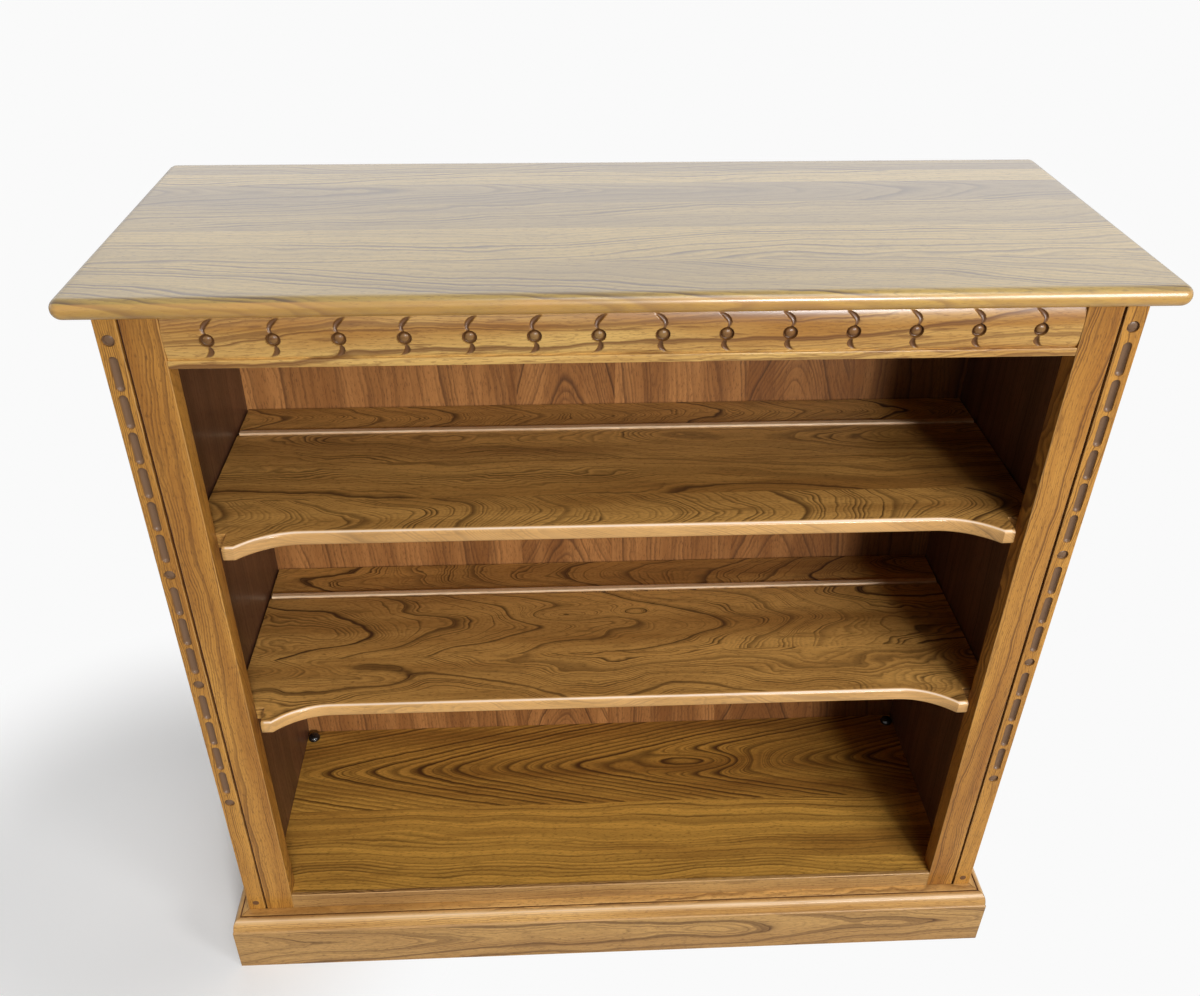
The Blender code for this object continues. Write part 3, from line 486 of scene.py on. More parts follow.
@dataclass(frozen=True)
class ElmBoard:
    """Solid or veneered elm under satin lacquer.

    Elm is ring porous: each year opens with a row of big pores that the stain
    fills dark, and its later wood shows fine wavy bands across the figure.
    The eye reads dark arches, fine zigzag bands between them and short pores.
    """

    name: str
    grain: Grain
    palette: Palette
    staves: tuple[Stave, ...]
    span: tuple[float, float]
    eyes: tuple[Eye, ...] = ()
    seed: float = 0.0
    depth_rings: float = 15.0
    sway: float = 1.0
    jag: float = 0.0020
    ripple: float = 0.0004
    line_width: float = 0.22
    fine: float = 12.0
    bands: float = 1.0
    tone_swing: float = 0.5
    flecks: float = 0.4
    pores: float = 0.5
    roughness: float = 0.4
    specular: float = 0.3
    coat: float = 0.2
    coat_roughness: float = 0.2
    # Share of golden on the case's outside faces, over a palette that paints the inside's shade.
    outer_face_golden: float = 0.0

    def table(self, graph: Graph, across: Term,
              rows: list[tuple[float, float, float]]) -> Sockets:
        """Look up three numbers for the stave that a point lies in.

        Args:
            graph: the material's tree.
            across: the point's place across the board.
            rows: three numbers between 0 and 1 for each stave.

        Returns:
            Three sockets.
        """
        low, high = self.span
        ramp = graph.put("ValToRGB", {0: graph.remap(across, low, high)})
        stops = ramp.color_ramp.elements
        ramp.color_ramp.interpolation = "CONSTANT"
        stops[0].color = (*rows[0], 1)
        stops.remove(stops[1])
        for stave, row in zip(self.staves[1:], rows[1:]):
            stops.new((stave.edge - low) / (high - low)).color = (*row, 1)
        return graph.put("SeparateColor", {0: ramp}).outputs

    def figure(self, graph: Graph, place: Term, shape: Sockets,
               clouds: dict[str, Node]) -> Node:
        """Number the dark lines of the figure.

        A point's number is run times its place along the grain, plus arch
        times its rounded distance from the heart (the root of its square and
        12 mm's square, with the metres that jag and ripple stray), plus its
        depth, the sway and a bell for each eye.

        Args:
            graph: the material's tree.
            place: the point, turned to along, across and deep.
            shape: heart, arch and run of its stave, as table() stores them.
            clouds: the stretched noises.

        Returns:
            A node whose output is the number.
        """
        along, across, deep = graph.split(place)
        heart = graph.maths("MULTIPLY_ADD", shape[0], HEART_SPAN, -0.5 * HEART_SPAN)
        arch = graph.maths("MULTIPLY", shape[1], ARCH_SPAN)
        run = graph.maths("MULTIPLY_ADD", shape[2], RUN_SPAN, -0.5 * RUN_SPAN)
        away = graph.maths("SUBTRACT", across, heart)
        away = graph.maths("SQRT", graph.maths("MULTIPLY_ADD", away, away, HEART_ROUND ** 2))
        for cloud, stray in (("jag", self.jag), ("ripple", self.ripple)):
            away = graph.maths("MULTIPLY_ADD", clouds[cloud], 2 * stray, away)
        number = graph.maths("MULTIPLY", away, arch)
        for term, share in ((along, run), (deep, self.depth_rings), (clouds["drift"], 2 * self.sway)):
            number = graph.maths("MULTIPLY_ADD", term, share, number)
        for eye in self.eyes:
            gap = graph.vector("SUBTRACT", place, (eye.along, eye.across, 0))
            gap = graph.vector("MULTIPLY", gap, (1 / eye.long, 1 / eye.wide, 0))
            far = graph.vector("DOT_PRODUCT", gap, gap).outputs["Value"]
            number = graph.maths("MULTIPLY_ADD", graph.maths("POWER", BELL, far), eye.rings, number)
        return number

    def lines(self, graph: Graph, number: Term, width: float, faintest: float) -> Node:
        """Draw one line at each whole number: sharp on its near side, fading on its far side.

        Args:
            graph: the material's tree.
            number: the figure's number at a point.
            width: the share of the gap between lines that a line takes.
            faintest: weight of the faintest line; each draws its own by lot.

        Returns:
            A node whose output is the line's strength.
        """
        luck = graph.put("TexWhiteNoise", {"W": graph.maths("FLOOR", number)}, noise_dimensions="1D")
        weight = graph.remap(luck, LOT_LOW, 1.0, faintest)
        profile = graph.put("ValToRGB", {0: graph.maths("FRACT", number)})
        stops = profile.color_ramp.elements
        stops[0].color = (0, 0, 0, 1)
        stops[1].color = (0, 0, 0, 1)
        for share, strength in LINE_PROFILE:
            stops.new(share * width).color = (strength, strength, strength, 1)
        return graph.maths("MULTIPLY", profile, weight)

    def shown(self, graph: Graph, clouds: dict[str, Node], key: str, start: float, end: float = 1.0,
              kind: str = "LINEAR") -> Node:
        """Map the values between which a cloud tells onto start to end."""
        return graph.remap(clouds[key], CLOUDS[key].low, CLOUDS[key].high, start, end, kind)

    def build(self) -> Material:
        """Make the material.

        Dark lines stand at whole numbers of the figure, fine bands at whole
        numbers of the figure times the board's fine count; both are laid over
        a base that swings from pale to deep, then come flecks and pores.

        Returns:
            The finished material.
        """
        graph = Graph(bpy.data.materials.new(self.name))
        point = graph.place()
        turn = tuple(Matrix(self.grain.value).to_euler("XYZ"))
        place = graph.put("Mapping", {"Vector": point, "Rotation": turn})
        across = graph.split(place)[1]
        shape = self.table(graph, across, [
            (s.heart / HEART_SPAN + 0.5, s.arch / ARCH_SPAN, s.run / RUN_SPAN + 0.5) for s in self.staves])
        tone, strength, shift = self.table(graph, across, [
            (s.tone, s.line, s.shift / 2 + 0.5) for s in self.staves])
        slide = graph.put("CombineXYZ", {0: graph.maths("MULTIPLY_ADD", shift, SHIFT_SPAN, self.seed)})
        spot = graph.vector("ADD", place, slide)
        clouds = {}
        for key, cloud in CLOUDS.items():
            scaled = graph.vector("MULTIPLY", spot, (cloud.along, cloud.across, cloud.across))
            clouds[key] = graph.noise(scaled, 1.0, cloud.detail, cloud.broken)
        number = self.figure(graph, place, shape, clouds)
        line = graph.maths("MULTIPLY", self.lines(graph, number, self.line_width, LEAST_LINE), strength)
        band = self.lines(graph, graph.maths("MULTIPLY", number, self.fine), FINE_WIDTH, LEAST_BAND)
        band = graph.maths("MULTIPLY", band, self.shown(graph, clouds, "veil", VEILED))
        band = graph.maths("MULTIPLY", band, self.bands)
        fleck = self.shown(graph, clouds, "fleck", 0.0, self.flecks, "SMOOTHSTEP")
        pore = self.shown(graph, clouds, "pore", 0.0, self.pores, "SMOOTHSTEP")
        swing = self.shown(graph, clouds, "shade", -self.tone_swing, self.tone_swing)
        dark = graph.maths("MAXIMUM", fleck, graph.maths("MAXIMUM", line, band))
        dark = graph.maths("MULTIPLY_ADD", line, LINE_OVER, dark, clamp=True)
        cut = graph.put("Attribute", attribute_name="carved").outputs["Fac"]
        rub = graph.put("Attribute", attribute_name="arris").outputs["Fac"]
        scuff = graph.remap(clouds["veil"], *SCUFFED)
        rubbed = graph.maths("MULTIPLY", rub, scuff, clamp=True)
        # The part of an arris mark above one paints this near-white highlight.
        painted_highlight = graph.maths("SUBTRACT", rub, 1.0, clamp=True)
        tone = graph.maths("ADD", swing, tone, clamp=True)
        colour = graph.mix(tone, linear(self.palette.pale), self.palette.deep)
        if self.outer_face_golden:
            # The side's palette is dark, painting the shade inside the case: faces more than 470 mm from the
            # middle are the case's outside and are mixed towards golden.
            out = graph.maths("GREATER_THAN", graph.maths("ABSOLUTE", graph.split(point)[0]), OUTER_FACE)
            colour = graph.mix(graph.maths("MULTIPLY", out, self.outer_face_golden), colour, GOLDEN.pale)
        for share, tint in ((dark, self.palette.line), (pore, self.palette.pore), (cut, self.palette.carved),
                            (rubbed, self.palette.worn), (painted_highlight, PAINTED_ARRIS_HIGHLIGHT)):
            colour = graph.mix(share, colour, tint)
        hollow = graph.maths("MULTIPLY_ADD", dark, 0.5, pore)
        rough = graph.maths("MULTIPLY_ADD", hollow, HOLLOW_ROUGH, self.roughness)
        graph.surface(colour, rough, graph.bump(hollow, HOLLOW_BUMP, HOLLOW_DEPTH, sunk=True), {
            "IOR": LACQUER_IOR, "Specular IOR Level": self.specular, "Coat Weight": self.coat,
            "Coat Roughness": self.coat_roughness, "Coat IOR": LACQUER_IOR})
        return graph.owner


@dataclass(frozen=True)
class BareSoftwood:
    """Planed pine rails and battens without finish: pale, dry, with straight yellow-brown rings."""

    name: str = "planed_pine_bare"
    pale: str = "#d9b98a"
    deep: str = "#b98d57"
    waves: tuple[float, float, float] = (4.0, 260.0, 190.0)
    dryness: float = 0.7

    def build(self) -> Material:
        """Make the material: its rings are a noise stretched along the rail."""
        graph = Graph(bpy.data.materials.new(self.name))
        rings = graph.noise(graph.vector("MULTIPLY", graph.place(), self.waves), detail=3.0)
        rings = graph.remap(rings, 0.45, 0.62)
        colour = graph.mix(rings, linear(self.pale), self.deep)
        graph.surface(colour, self.dryness, graph.bump(rings, 0.2, 0.0002))
        return graph.owner


@dataclass(frozen=True)
class StainedPlug:
    """End-grain elm plug, stained: the open pores drink the stain, so it is darker than the post round it."""

    name: str = "stained_elm_end_grain"
    pore: str = "#553720"
    wood: str = "#7d5433"
    pores_per_metre: float = 1400.0
    mottle_per_metre: float = 500.0

    def build(self) -> Material:
        """Make the material: cells for the pores, times a mottle of the stain."""
        graph = Graph(bpy.data.materials.new(self.name))
        place = graph.place()
        pores = graph.put("TexVoronoi", {"Vector": place, "Scale": self.pores_per_metre})
        pores = graph.remap(pores, 0.1, 0.5)
        blend = graph.maths("MULTIPLY", pores, graph.noise(place, self.mottle_per_metre))
        colour = graph.mix(blend, linear(self.pore), self.wood)
        graph.surface(colour, 0.5, graph.bump(pores, 0.3, 0.0001))
        return graph.owner


@dataclass(frozen=True)
class MouldedPlastic:
    """Injection-moulded black plastic: glossy, with the faint orange peel of the mould."""

    name: str = "moulded_black_plastic"
    dark: str = "#0c0b0a"
    pale: str = "#1b1816"
    peel_per_metre: float = 600.0
    roughness: tuple[float, float] = (0.14, 0.26)
    ior: float = 1.53

    def build(self) -> Material:
        """Make the material: one fine noise moves its colour, gloss and surface."""
        graph = Graph(bpy.data.materials.new(self.name))
        peel = graph.noise(graph.place(), self.peel_per_metre)
        rough = graph.remap(peel, 0.0, 1.0, *self.roughness)
        colour = graph.mix(peel, linear(self.dark), self.pale)
        graph.surface(colour, rough, graph.bump(peel, 0.12, 0.0001), {"IOR": self.ior})
        return graph.owner


@dataclass(frozen=True)
class SmallMetal:
    """Turned or plated metal fixings: fine lathe lines, light tarnish in patches."""

    name: str
    bright: str
    dull: str
    tarnish_per_metre: float = 260.0
    lathe_per_metre: float = 2500.0
    roughness: tuple[float, float] = (0.24, 0.42)

    def build(self) -> Material:
        """Make the material: a coarse noise for the tarnish, a fine one for the lathe lines."""
        graph = Graph(bpy.data.materials.new(self.name))
        place = graph.place()
        patch = graph.remap(graph.noise(place, self.tarnish_per_metre, 3.0), 0.4, 0.65)
        lathe = graph.noise(place, self.lathe_per_metre, 1.0)
        rough = graph.remap(patch, 0.0, 1.0, *self.roughness)
        colour = graph.mix(patch, linear(self.bright), self.dull)
        graph.surface(colour, rough, graph.bump(lathe, 0.15, 0.00005), {"Metallic": 1.0})
        return graph.owner


def plain_stave(tone: float = 0.4, line: float = 0.5, heart: float = 0.6, arch: float = 40.0,
                run: float = 1.0) -> tuple[Stave, ...]:
    """One quarter-sawn strip: its heart lies outside the board, so its lines run straight."""
    return (Stave(-1.0, heart, arch, run, tone, line),)


ELM_BOARDS: dict[str, ElmBoard] = {
    "top": ElmBoard(
        "elm_top_satin_lacquer", Grain.LEVEL_FLAT, TOP,
        (
            Stave(-0.1895, -0.300, 30, 4.0, 0.30, 0.80, 0.10),
            Stave(-0.111, 0.200, 22, 1.0, 0.05, 0.35, 0.50),
            Stave(-0.028, -0.200, 26, -1.5, 0.55, 0.50, -0.30),
            Stave(0.045, 0.085, 26, 3.0, 0.95, 0.90, 0.70),
            Stave(0.108, 0.300, 24, 1.0, 0.05, 0.50, -0.80),
            Stave(0.146, 0.400, 28, 1.0, 0.75, 0.50, 0.80),
        ),
        (-0.1895, 0.1895), seed=1.3, roughness=0.36, specular=0.5, coat=0.9, tone_swing=0.3, fine=6.0,
        bands=1.4),
    "shelf_upper": ElmBoard(
        "elm_upper_shelf_satin_lacquer", Grain.LEVEL_FLAT, SHELF,
        (
            Stave(-0.170, -0.110, 11, 8.4, 0.55, 0.80, 0.0),
            Stave(-0.082, -0.330, 15, 0.6, 0.65, 0.75, 0.4),
            Stave(-0.010, 0.040, 14, -2.0, 0.40, 0.85, -0.5),
            Stave(0.058, 0.090, 30, 9.0, 0.40, 0.95, 0.2),
        ),
        (-0.170, 0.120), seed=4.1, jag=0.0045, ripple=0.0007, line_width=0.13, fine=20.0, coat=0.5,
        coat_roughness=0.16),
    "shelf_lower": ElmBoard(
        "elm_lower_shelf_satin_lacquer", Grain.LEVEL_FLAT, SHELF,
        (
            Stave(-0.170, -0.400, 16, 1.2, 0.20, 0.70, 0.1),
            Stave(-0.062, -0.010, 20, 8.0, 0.40, 0.95, -0.6),
            Stave(0.052, 0.085, 26, -9.0, 0.55, 0.95, 0.8),
        ),
        (-0.170, 0.120), (Eye(-0.060, 0.008, 0.052, 0.012, 1.6), Eye(0.030, 0.012, 0.022, 0.009, 1.1)),
        seed=7.7, sway=2.2, jag=0.0045, ripple=0.0007, line_width=0.16, fine=15.0, coat=0.5,
        coat_roughness=0.16),
    "bottom": ElmBoard(
        "elm_bottom_board_satin_lacquer", Grain.LEVEL_FLAT, BOTTOM,
        (Stave(-0.170, -0.500, 50, 1.0, 0.10, 0.45, 0.3), Stave(-0.032, 0.036, 150, -34.0, 0.50, 0.90, -0.4)),
        (-0.170, 0.120), (Eye(0.140, 0.038, 0.085, 0.017, 6.5),), seed=2.9, sway=1.6, jag=0.0012,
        line_width=0.8, fine=4.0, tone_swing=0.6),
    "golden": ElmBoard(
        "elm_post_satin_lacquer", Grain.UPRIGHT_FRONT, GOLDEN, plain_stave(0.35, 0.4), (-0.5, 0.5), seed=5.3),
    "stile": ElmBoard(
        "elm_stile_satin_lacquer", Grain.UPRIGHT_FRONT, STILE, plain_stave(0.45, 0.7, 0.9, 34, 1.4),
        (-0.5, 0.5), seed=6.9, line_width=0.14, flecks=0.5, coat=0.3),
    "frieze": ElmBoard(
        "elm_frieze_satin_lacquer", Grain.LEVEL_UPRIGHT, FRIEZE, (Stave(0.88, 0.965, 40, 3.0, 0.40, 0.75),),
        (0.88, 0.97), seed=8.2, sway=1.3, jag=0.003, line_width=0.3, fine=7.0, tone_swing=0.7, flecks=0.7,
        coat=0.4),
    "lipping": ElmBoard(
        "elm_front_strip_satin_lacquer", Grain.LEVEL_UPRIGHT, BASE, plain_stave(0.35, 0.5, 0.5, 50, 1.0),
        (0.0, 0.2), seed=3.3),
    "plinth": ElmBoard(
        "elm_plinth_satin_lacquer", Grain.LEVEL_UPRIGHT, BASE, (Stave(0.0, 0.045, 60, 4.0, 0.35, 0.6),),
        (0.0, 0.1), seed=9.4, sway=1.8, line_width=0.4, fine=6.0),
    "moulding": ElmBoard(
        "elm_moulding_satin_lacquer", Grain.LEVEL_UPRIGHT, EDGE, plain_stave(0.3, 0.40, 0.5, 70, 1.0),
        (0.0, 0.2), seed=10.1, line_width=0.45, fine=5.0),
    # The book stop's palette paints part of its sheen.
    "stop": ElmBoard(
        "elm_book_stop_paler_wood_painted_sheen", Grain.LEVEL_FLAT, STOP, plain_stave(0.3, 0.4), (-0.2, 0.2), seed=13.0),
    "side": ElmBoard(
        "elm_side_veneer_satin_lacquer", Grain.UPRIGHT_SIDE, INSIDE_PAINTED_SHADE, plain_stave(0.5, 0.7, 0.9, 50, 1.0),
        (-0.2, 0.2), seed=14.6, fine=5.0, bands=0.9, outer_face_golden=0.75),
    "back": ElmBoard(
        "elm_back_veneer_satin_lacquer", Grain.UPRIGHT_FRONT, VENEER,
        (
            Stave(-0.46, -0.90, 30, 2.0, 0.45, 0.65, 0.1),
            Stave(-0.115, -0.055, 42, 14.0, 0.35, 0.70, 0.5),
            Stave(0.005, -0.60, 34, 2.0, 0.50, 0.65, -0.3),
            Stave(0.170, 0.235, 40, 12.0, 0.90, 0.72, 0.7),
            Stave(0.300, 0.90, 30, -2.0, 1.00, 0.70, -0.6),
        ),
        (-0.46, 0.46), seed=15.8, sway=0.8, fine=6.0, bands=0.65, roughness=0.5, coat=0.1),
}
ELM_BOARDS["plinth_side"] = replace(
    ELM_BOARDS["plinth"], name="elm_plinth_return_satin_lacquer", grain=Grain.DEEP_UPRIGHT, seed=11.4)
ELM_BOARDS["moulding_side"] = replace(
    ELM_BOARDS["moulding"], name="elm_moulding_return_satin_lacquer", grain=Grain.DEEP_UPRIGHT, seed=12.1)


class Wardrobe:
    """Makes each finish once and dresses pieces in it."""

    def __init__(self) -> None:
        """Start with nothing made."""
        self.made: dict[str, Material] = {}
        self.others: dict[str, BareSoftwood | StainedPlug | MouldedPlastic | SmallMetal] = {
            "softwood": BareSoftwood(),
            "plug": StainedPlug(),
            "plastic": MouldedPlastic(),
            "brass": SmallMetal("turned_brass", "#d9b36a", "#a98142"),
            "zinc": SmallMetal("zinc_plated_steel", "#c3c6c9", "#8f9296"),
        }

    def dress(self, piece: Piece, key: str) -> None:
        """Give a piece one finish, made on first use, in every material slot it has.

        Args:
            piece: the piece.
            key: key of its finish.
        """
        if key not in self.made:
            self.made[key] = (ELM_BOARDS.get(key) or self.others[key]).build()
        if not piece.material_slots:
            piece.data.materials.append(self.made[key])
        for slot in piece.material_slots:
            slot.material = self.made[key]
        LOG.info("%s dressed as %s, %d faces", piece.name, key, len(piece.data.polygons))


@dataclass
class Part:
    """A sub-assembly whose pieces are dressed from one wardrobe."""

    wardrobe: Wardrobe

    def fit(self, piece: Piece, key: str, node: str, slot: str, body: str = "case") -> None:
        """Dress a new piece that stands for a CAD node and make it ride.

        Args:
            piece: the new piece.
            key: key of its finish.
            node: the CAD node that it replaces.
            slot: not used.
            body: the body it rides on.
        """
        self.wardrobe.dress(piece, key)
        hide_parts(node)
        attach(piece, body)


@dataclass
class TopBoard(Part):
    """The top: one board of glued staves, rounded corners and a full bullnose all round."""

    corner_radius: float = 0.0105
    least_radius: float = 0.0004
    nose_radius: float = 0.0098
    corner_steps: int = 8
    nose_steps: int = 10
    flat_margin: float = 0.0015
    # The nose's lower part takes the golden worn colour at this share: the wood without the flat top's
    # painted sheen.
    wear: float = 0.75
    golden_nose_up_to: float = 0.6

    def build(self) -> None:
        """Build and dress the top board.

        Ring points run round the plan outline: four corner arcs whose radius
        shrinks by the nose's inset. Rings climb the half-round nose: inset is
        the nose radius times one less the cosine, height follows the sine.
        """
        low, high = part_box("top_board")
        r = self.nose_radius
        rise = arc(-90, 90, 2 * self.nose_steps)
        flat = [r + self.flat_margin]
        inset = np.concatenate([flat, r * (1 - np.cos(rise)), flat])[:, None]
        heights = np.where(rise < 0, low.z + r, high.z - r) + r * np.sin(rise)
        heights = np.concatenate([[low.z], heights, [high.z]])
        angles = np.concatenate([arc(90 * k, 90 * k + 90, self.corner_steps) for k in range(4)])
        quarter = np.repeat(np.arange(4), self.corner_steps + 1)
        radius = np.maximum(self.corner_radius - inset, self.least_radius)
        pull = -inset - radius
        x = np.array([1, -1, -1, 1])[quarter] * ((high.x - low.x) / 2 + pull) + radius * np.cos(angles)
        y = np.array([1, 1, -1, -1])[quarter] * ((high.y - low.y) / 2 + pull) + radius * np.sin(angles)
        z = np.broadcast_to(heights[:, None], x.shape)
        worn = self.wear * (z < high.z - (1 - self.golden_nose_up_to) * r)
        worn[0] = 0
        piece = skin("top_board_shaped", np.stack([x, y, z], axis=-1), {"arris": worn})
        self.fit(piece, "top", "top_board", "elm_top")


@dataclass
class CarvedPost(Part):
    """An outer post: flutes with ball ends between beads in round sinkings."""

    beads_below_top: tuple[float, ...] = (0.0291, 0.2985, 0.4546, 0.6515)
    flutes_between: tuple[int, ...] = (6, 3, 4)
    flute_margin: float = 0.0157
    flute_gap: float = 0.0030
    flute_radius: float = 0.0047
    flute_depth: float = 0.0036
    flute_kept: float = 0.00457
    flute_block: float = 0.0060
    bead: Sinking = Sinking(ball=0.0050, rim=0.0060, depth=0.0026, top=0.0010, bend=2.5)
    bead_block: float = 0.0088
    arris: float = 0.0010
    arris_wear: float = 0.5
    stain_depth: float = 0.0016
    plain_rows: int = 30
    flute_rows: int = 6
    half_lines: tuple[float, ...] = (
        0.0, 0.0010, 0.0019, 0.0027, 0.0034, 0.0040, 0.0043, 0.00457, 0.0048, 0.0050, 0.0053, 0.0056, 0.0060,
        0.0070, 0.0079, 0.0088)

    def flutes(self, top: float) -> Array:
        """Lay the flutes between the beads, in equal lengths.

        Args:
            top: height of the post's top.

        Returns:
            One row per flute: centre height, and half length between its balls' centres.
        """
        rows = []
        beads = [top - below for below in self.beads_below_top]
        for upper, lower, count in zip(beads, beads[1:], self.flutes_between):
            run = upper - lower - 2 * self.flute_margin
            length = (run - (count - 1) * self.flute_gap) / count
            starts = upper - self.flute_margin - np.arange(count) * (length + self.flute_gap)
            rows += [(start - length / 2, length / 2 - self.flute_radius) for start in starts]
        return np.array(rows)

    def depth(self, u: Array, z: Array, flutes: Array, beads: Array) -> Array:
        """How far the carving is sunk behind the face.

        A flute is a ball of its radius dragged between two centres that stand
        in front of the face. A bead is a low dome in a dish.

        Args:
            u: distance from the post's centre line.
            z: height.
            flutes: centre height and half length of each flute.
            beads: height of each bead.

        Returns:
            Depth of each point, zero on the face.
        """
        past = np.maximum(np.abs(z[..., None] - flutes[:, 0]) - flutes[:, 1], 0)
        reach = self.flute_radius ** 2 - u[..., None] ** 2 - past ** 2
        ball = np.sqrt(np.maximum(reach, 0)) - (self.flute_radius - self.flute_depth)
        far = np.hypot(u[..., None], z[..., None] - beads).min(axis=-1)
        return np.maximum(np.maximum(ball, 0).max(axis=-1), self.bead.depths(far))

    def rows(self, low: float, high: float, flutes: Array, beads: Array) -> Array:
        """Heights of the rings: plain ones, and fine ones round each bead and each flute's ends.

        Args:
            low: height of the post's foot.
            high: height of its top.
            flutes: centre height and half length of each flute.
            beads: height of each bead.

        Returns:
            The heights, from the foot up.
        """
        lines = np.array(self.half_lines)
        near = both_ways(lines[lines <= self.flute_block + MERGE])
        wide = both_ways(lines)
        lower, upper = flutes[:, :1] - flutes[:, 1:], flutes[:, :1] + flutes[:, 1:]
        plain = np.linspace(low, high, self.plain_rows)
        ends = np.concatenate([lower, upper])[:, 0]
        busy = np.abs(plain[:, None] - beads).min(axis=1) < self.bead_block
        busy |= np.abs(plain[:, None] - ends).min(axis=1) < self.flute_block
        busy[[0, -1]] = False
        fine = [beads[:, None] + wide, lower + near[near <= 0], upper + near[near >= 0],
                flutes[:, :1] + flutes[:, 1:] * np.linspace(-0.9, 0.9, self.flute_rows)]
        return np.unique(np.round(np.concatenate([plain[~busy], *(part.ravel() for part in fine)]), 6))

    def build(self, label: str) -> None:
        """Build and dress one post.

        Rings climb the post. Each is the arris, the carved face and the other
        arris, then the two back corners.

        Args:
            label: the side's name.
        """
        node = "carved_post_" + label
        low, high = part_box(node)
        half, deep = (high.x - low.x) / 2, high.y - low.y
        flutes = self.flutes(high.z)
        beads = high.z - np.array(self.beads_below_top)
        rows = self.rows(low.z, high.z, flutes, beads)
        u, z = np.meshgrid(both_ways(np.array([*self.half_lines, half - self.arris])), rows)
        u, z = round_out(u, z, beads, self.bead_block, self.bead.rim)
        past = (np.abs(z[..., None] - flutes[:, 0]) - flutes[:, 1]).min(axis=-1)
        ends = np.concatenate([flutes[:, 0] - flutes[:, 1], flutes[:, 0] + flutes[:, 1]])
        bent_u, bent_z = round_out(u, z, ends, self.flute_block, self.flute_kept)
        u = np.where(past >= 0, bent_u, u)
        z = np.where(past >= 0, bent_z, z)
        sunk = self.depth(u, z, flutes, beads)
        corner = arc(90, 0, 4)[:-1]
        ease = half - self.arris + self.arris * np.sin(corner)
        back = self.arris - self.arris * np.cos(corner)
        count = len(rows)
        level = np.repeat(rows[:, None], len(ease), axis=1)
        x = np.hstack([each(-ease, count), u, each(ease[::-1], count), each([half, -half], count)])
        y = np.hstack([each(back, count), sunk, each(back[::-1], count), each([deep, deep], count)])
        z = np.hstack([level, z, level, level[:, :2]])
        dotted = np.hypot(x[..., None], z[..., None] - beads).min(axis=-1) < self.bead.rim - HAIR / 2
        carved = np.maximum(np.clip(y / self.stain_depth, 0, 1), dotted)
        carved *= np.abs(x) < self.bead_block + HAIR
        carved[:, -2:] = 0
        edge = (np.abs(np.abs(x) - half) < self.arris * 0.75) & (y < self.arris * 0.8)
        rings = np.stack([(low.x + high.x) / 2 + x, low.y + y, z], axis=-1)
        piece = skin(node + "_cut", rings, {"carved": carved, "arris": self.arris_wear * edge})
        self.fit(piece, "golden", node, "elm_golden")


@dataclass
class InnerStile(Part):
    """The plain stile beside a post, with the quirk that parts them."""

    quirk_width: float = 0.0026
    quirk_depth: float = 0.0030
    radii: tuple[float, ...] = (0.0011, 0.0006, 0.0001, 0.0003, 0.0002, 0.0006)
    arris_wear: float = 0.5
    levels: int = 24

    def build(self, side: int, label: str) -> None:
        """Build and dress one stile, one section carried straight up.

        Args:
            side: -1 for left or 1 for right.
            label: the side's name.
        """
        node = "inner_stile_" + label
        low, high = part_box(node)
        inner, outer = (low.x, high.x) if side > 0 else (-high.x, -low.x)
        quirk = outer - self.quirk_width
        corners = np.array([
            (inner, low.y), (quirk, low.y), (quirk, low.y + self.quirk_depth),
            (outer, low.y + self.quirk_depth), (outer, high.y), (inner, high.y)])
        section, wear = eased(corners, np.array(self.radii), 4)
        section[:, 0] *= side
        # The quirk's faces are painted near black.
        quirk_darkened = (section[:, 1] > low.y + 0.0005) & (np.abs(section[:, 0]) > quirk - 0.0004)
        rings = carried(section, np.linspace(low.z, high.z, self.levels), 2)
        worn = self.arris_wear * wear * ~quirk_darkened
        marks = {"arris": each(worn, self.levels), "carved": each(quirk_darkened, self.levels)}
        self.fit(skin(node + "_shaped", rings, marks), "stile", node, "elm_golden")


@dataclass
class FootPlug(Part):
    """A plug over the screw at a post's foot, almost flush."""

    radius: float = 0.0042
    length: float = 0.0070
    dome: float = 0.0002
    dome_base: float = 0.6

    def build(self, label: str) -> None:
        """Build and dress one plug: a low dome turned about the screw's axis.

        Args:
            label: the side's name.
        """
        node = "foot_plug_" + label
        low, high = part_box(node)
        bend, base = arc(90, 0, 5), self.dome_base
        nose = np.stack([self.radius * np.sin(bend), self.dome * (base + (1 - base) * np.cos(bend))], axis=1)
        profile = np.concatenate([[(0, -self.length), (self.radius, -self.length)], nose])
        place = Vector(((low.x + high.x) / 2, high.y - self.length, (low.z + high.z) / 2))
        self.fit(turned(node + "_turned", profile, place, Vector((0, -1, 0))), "plug", node, "dark_plug")


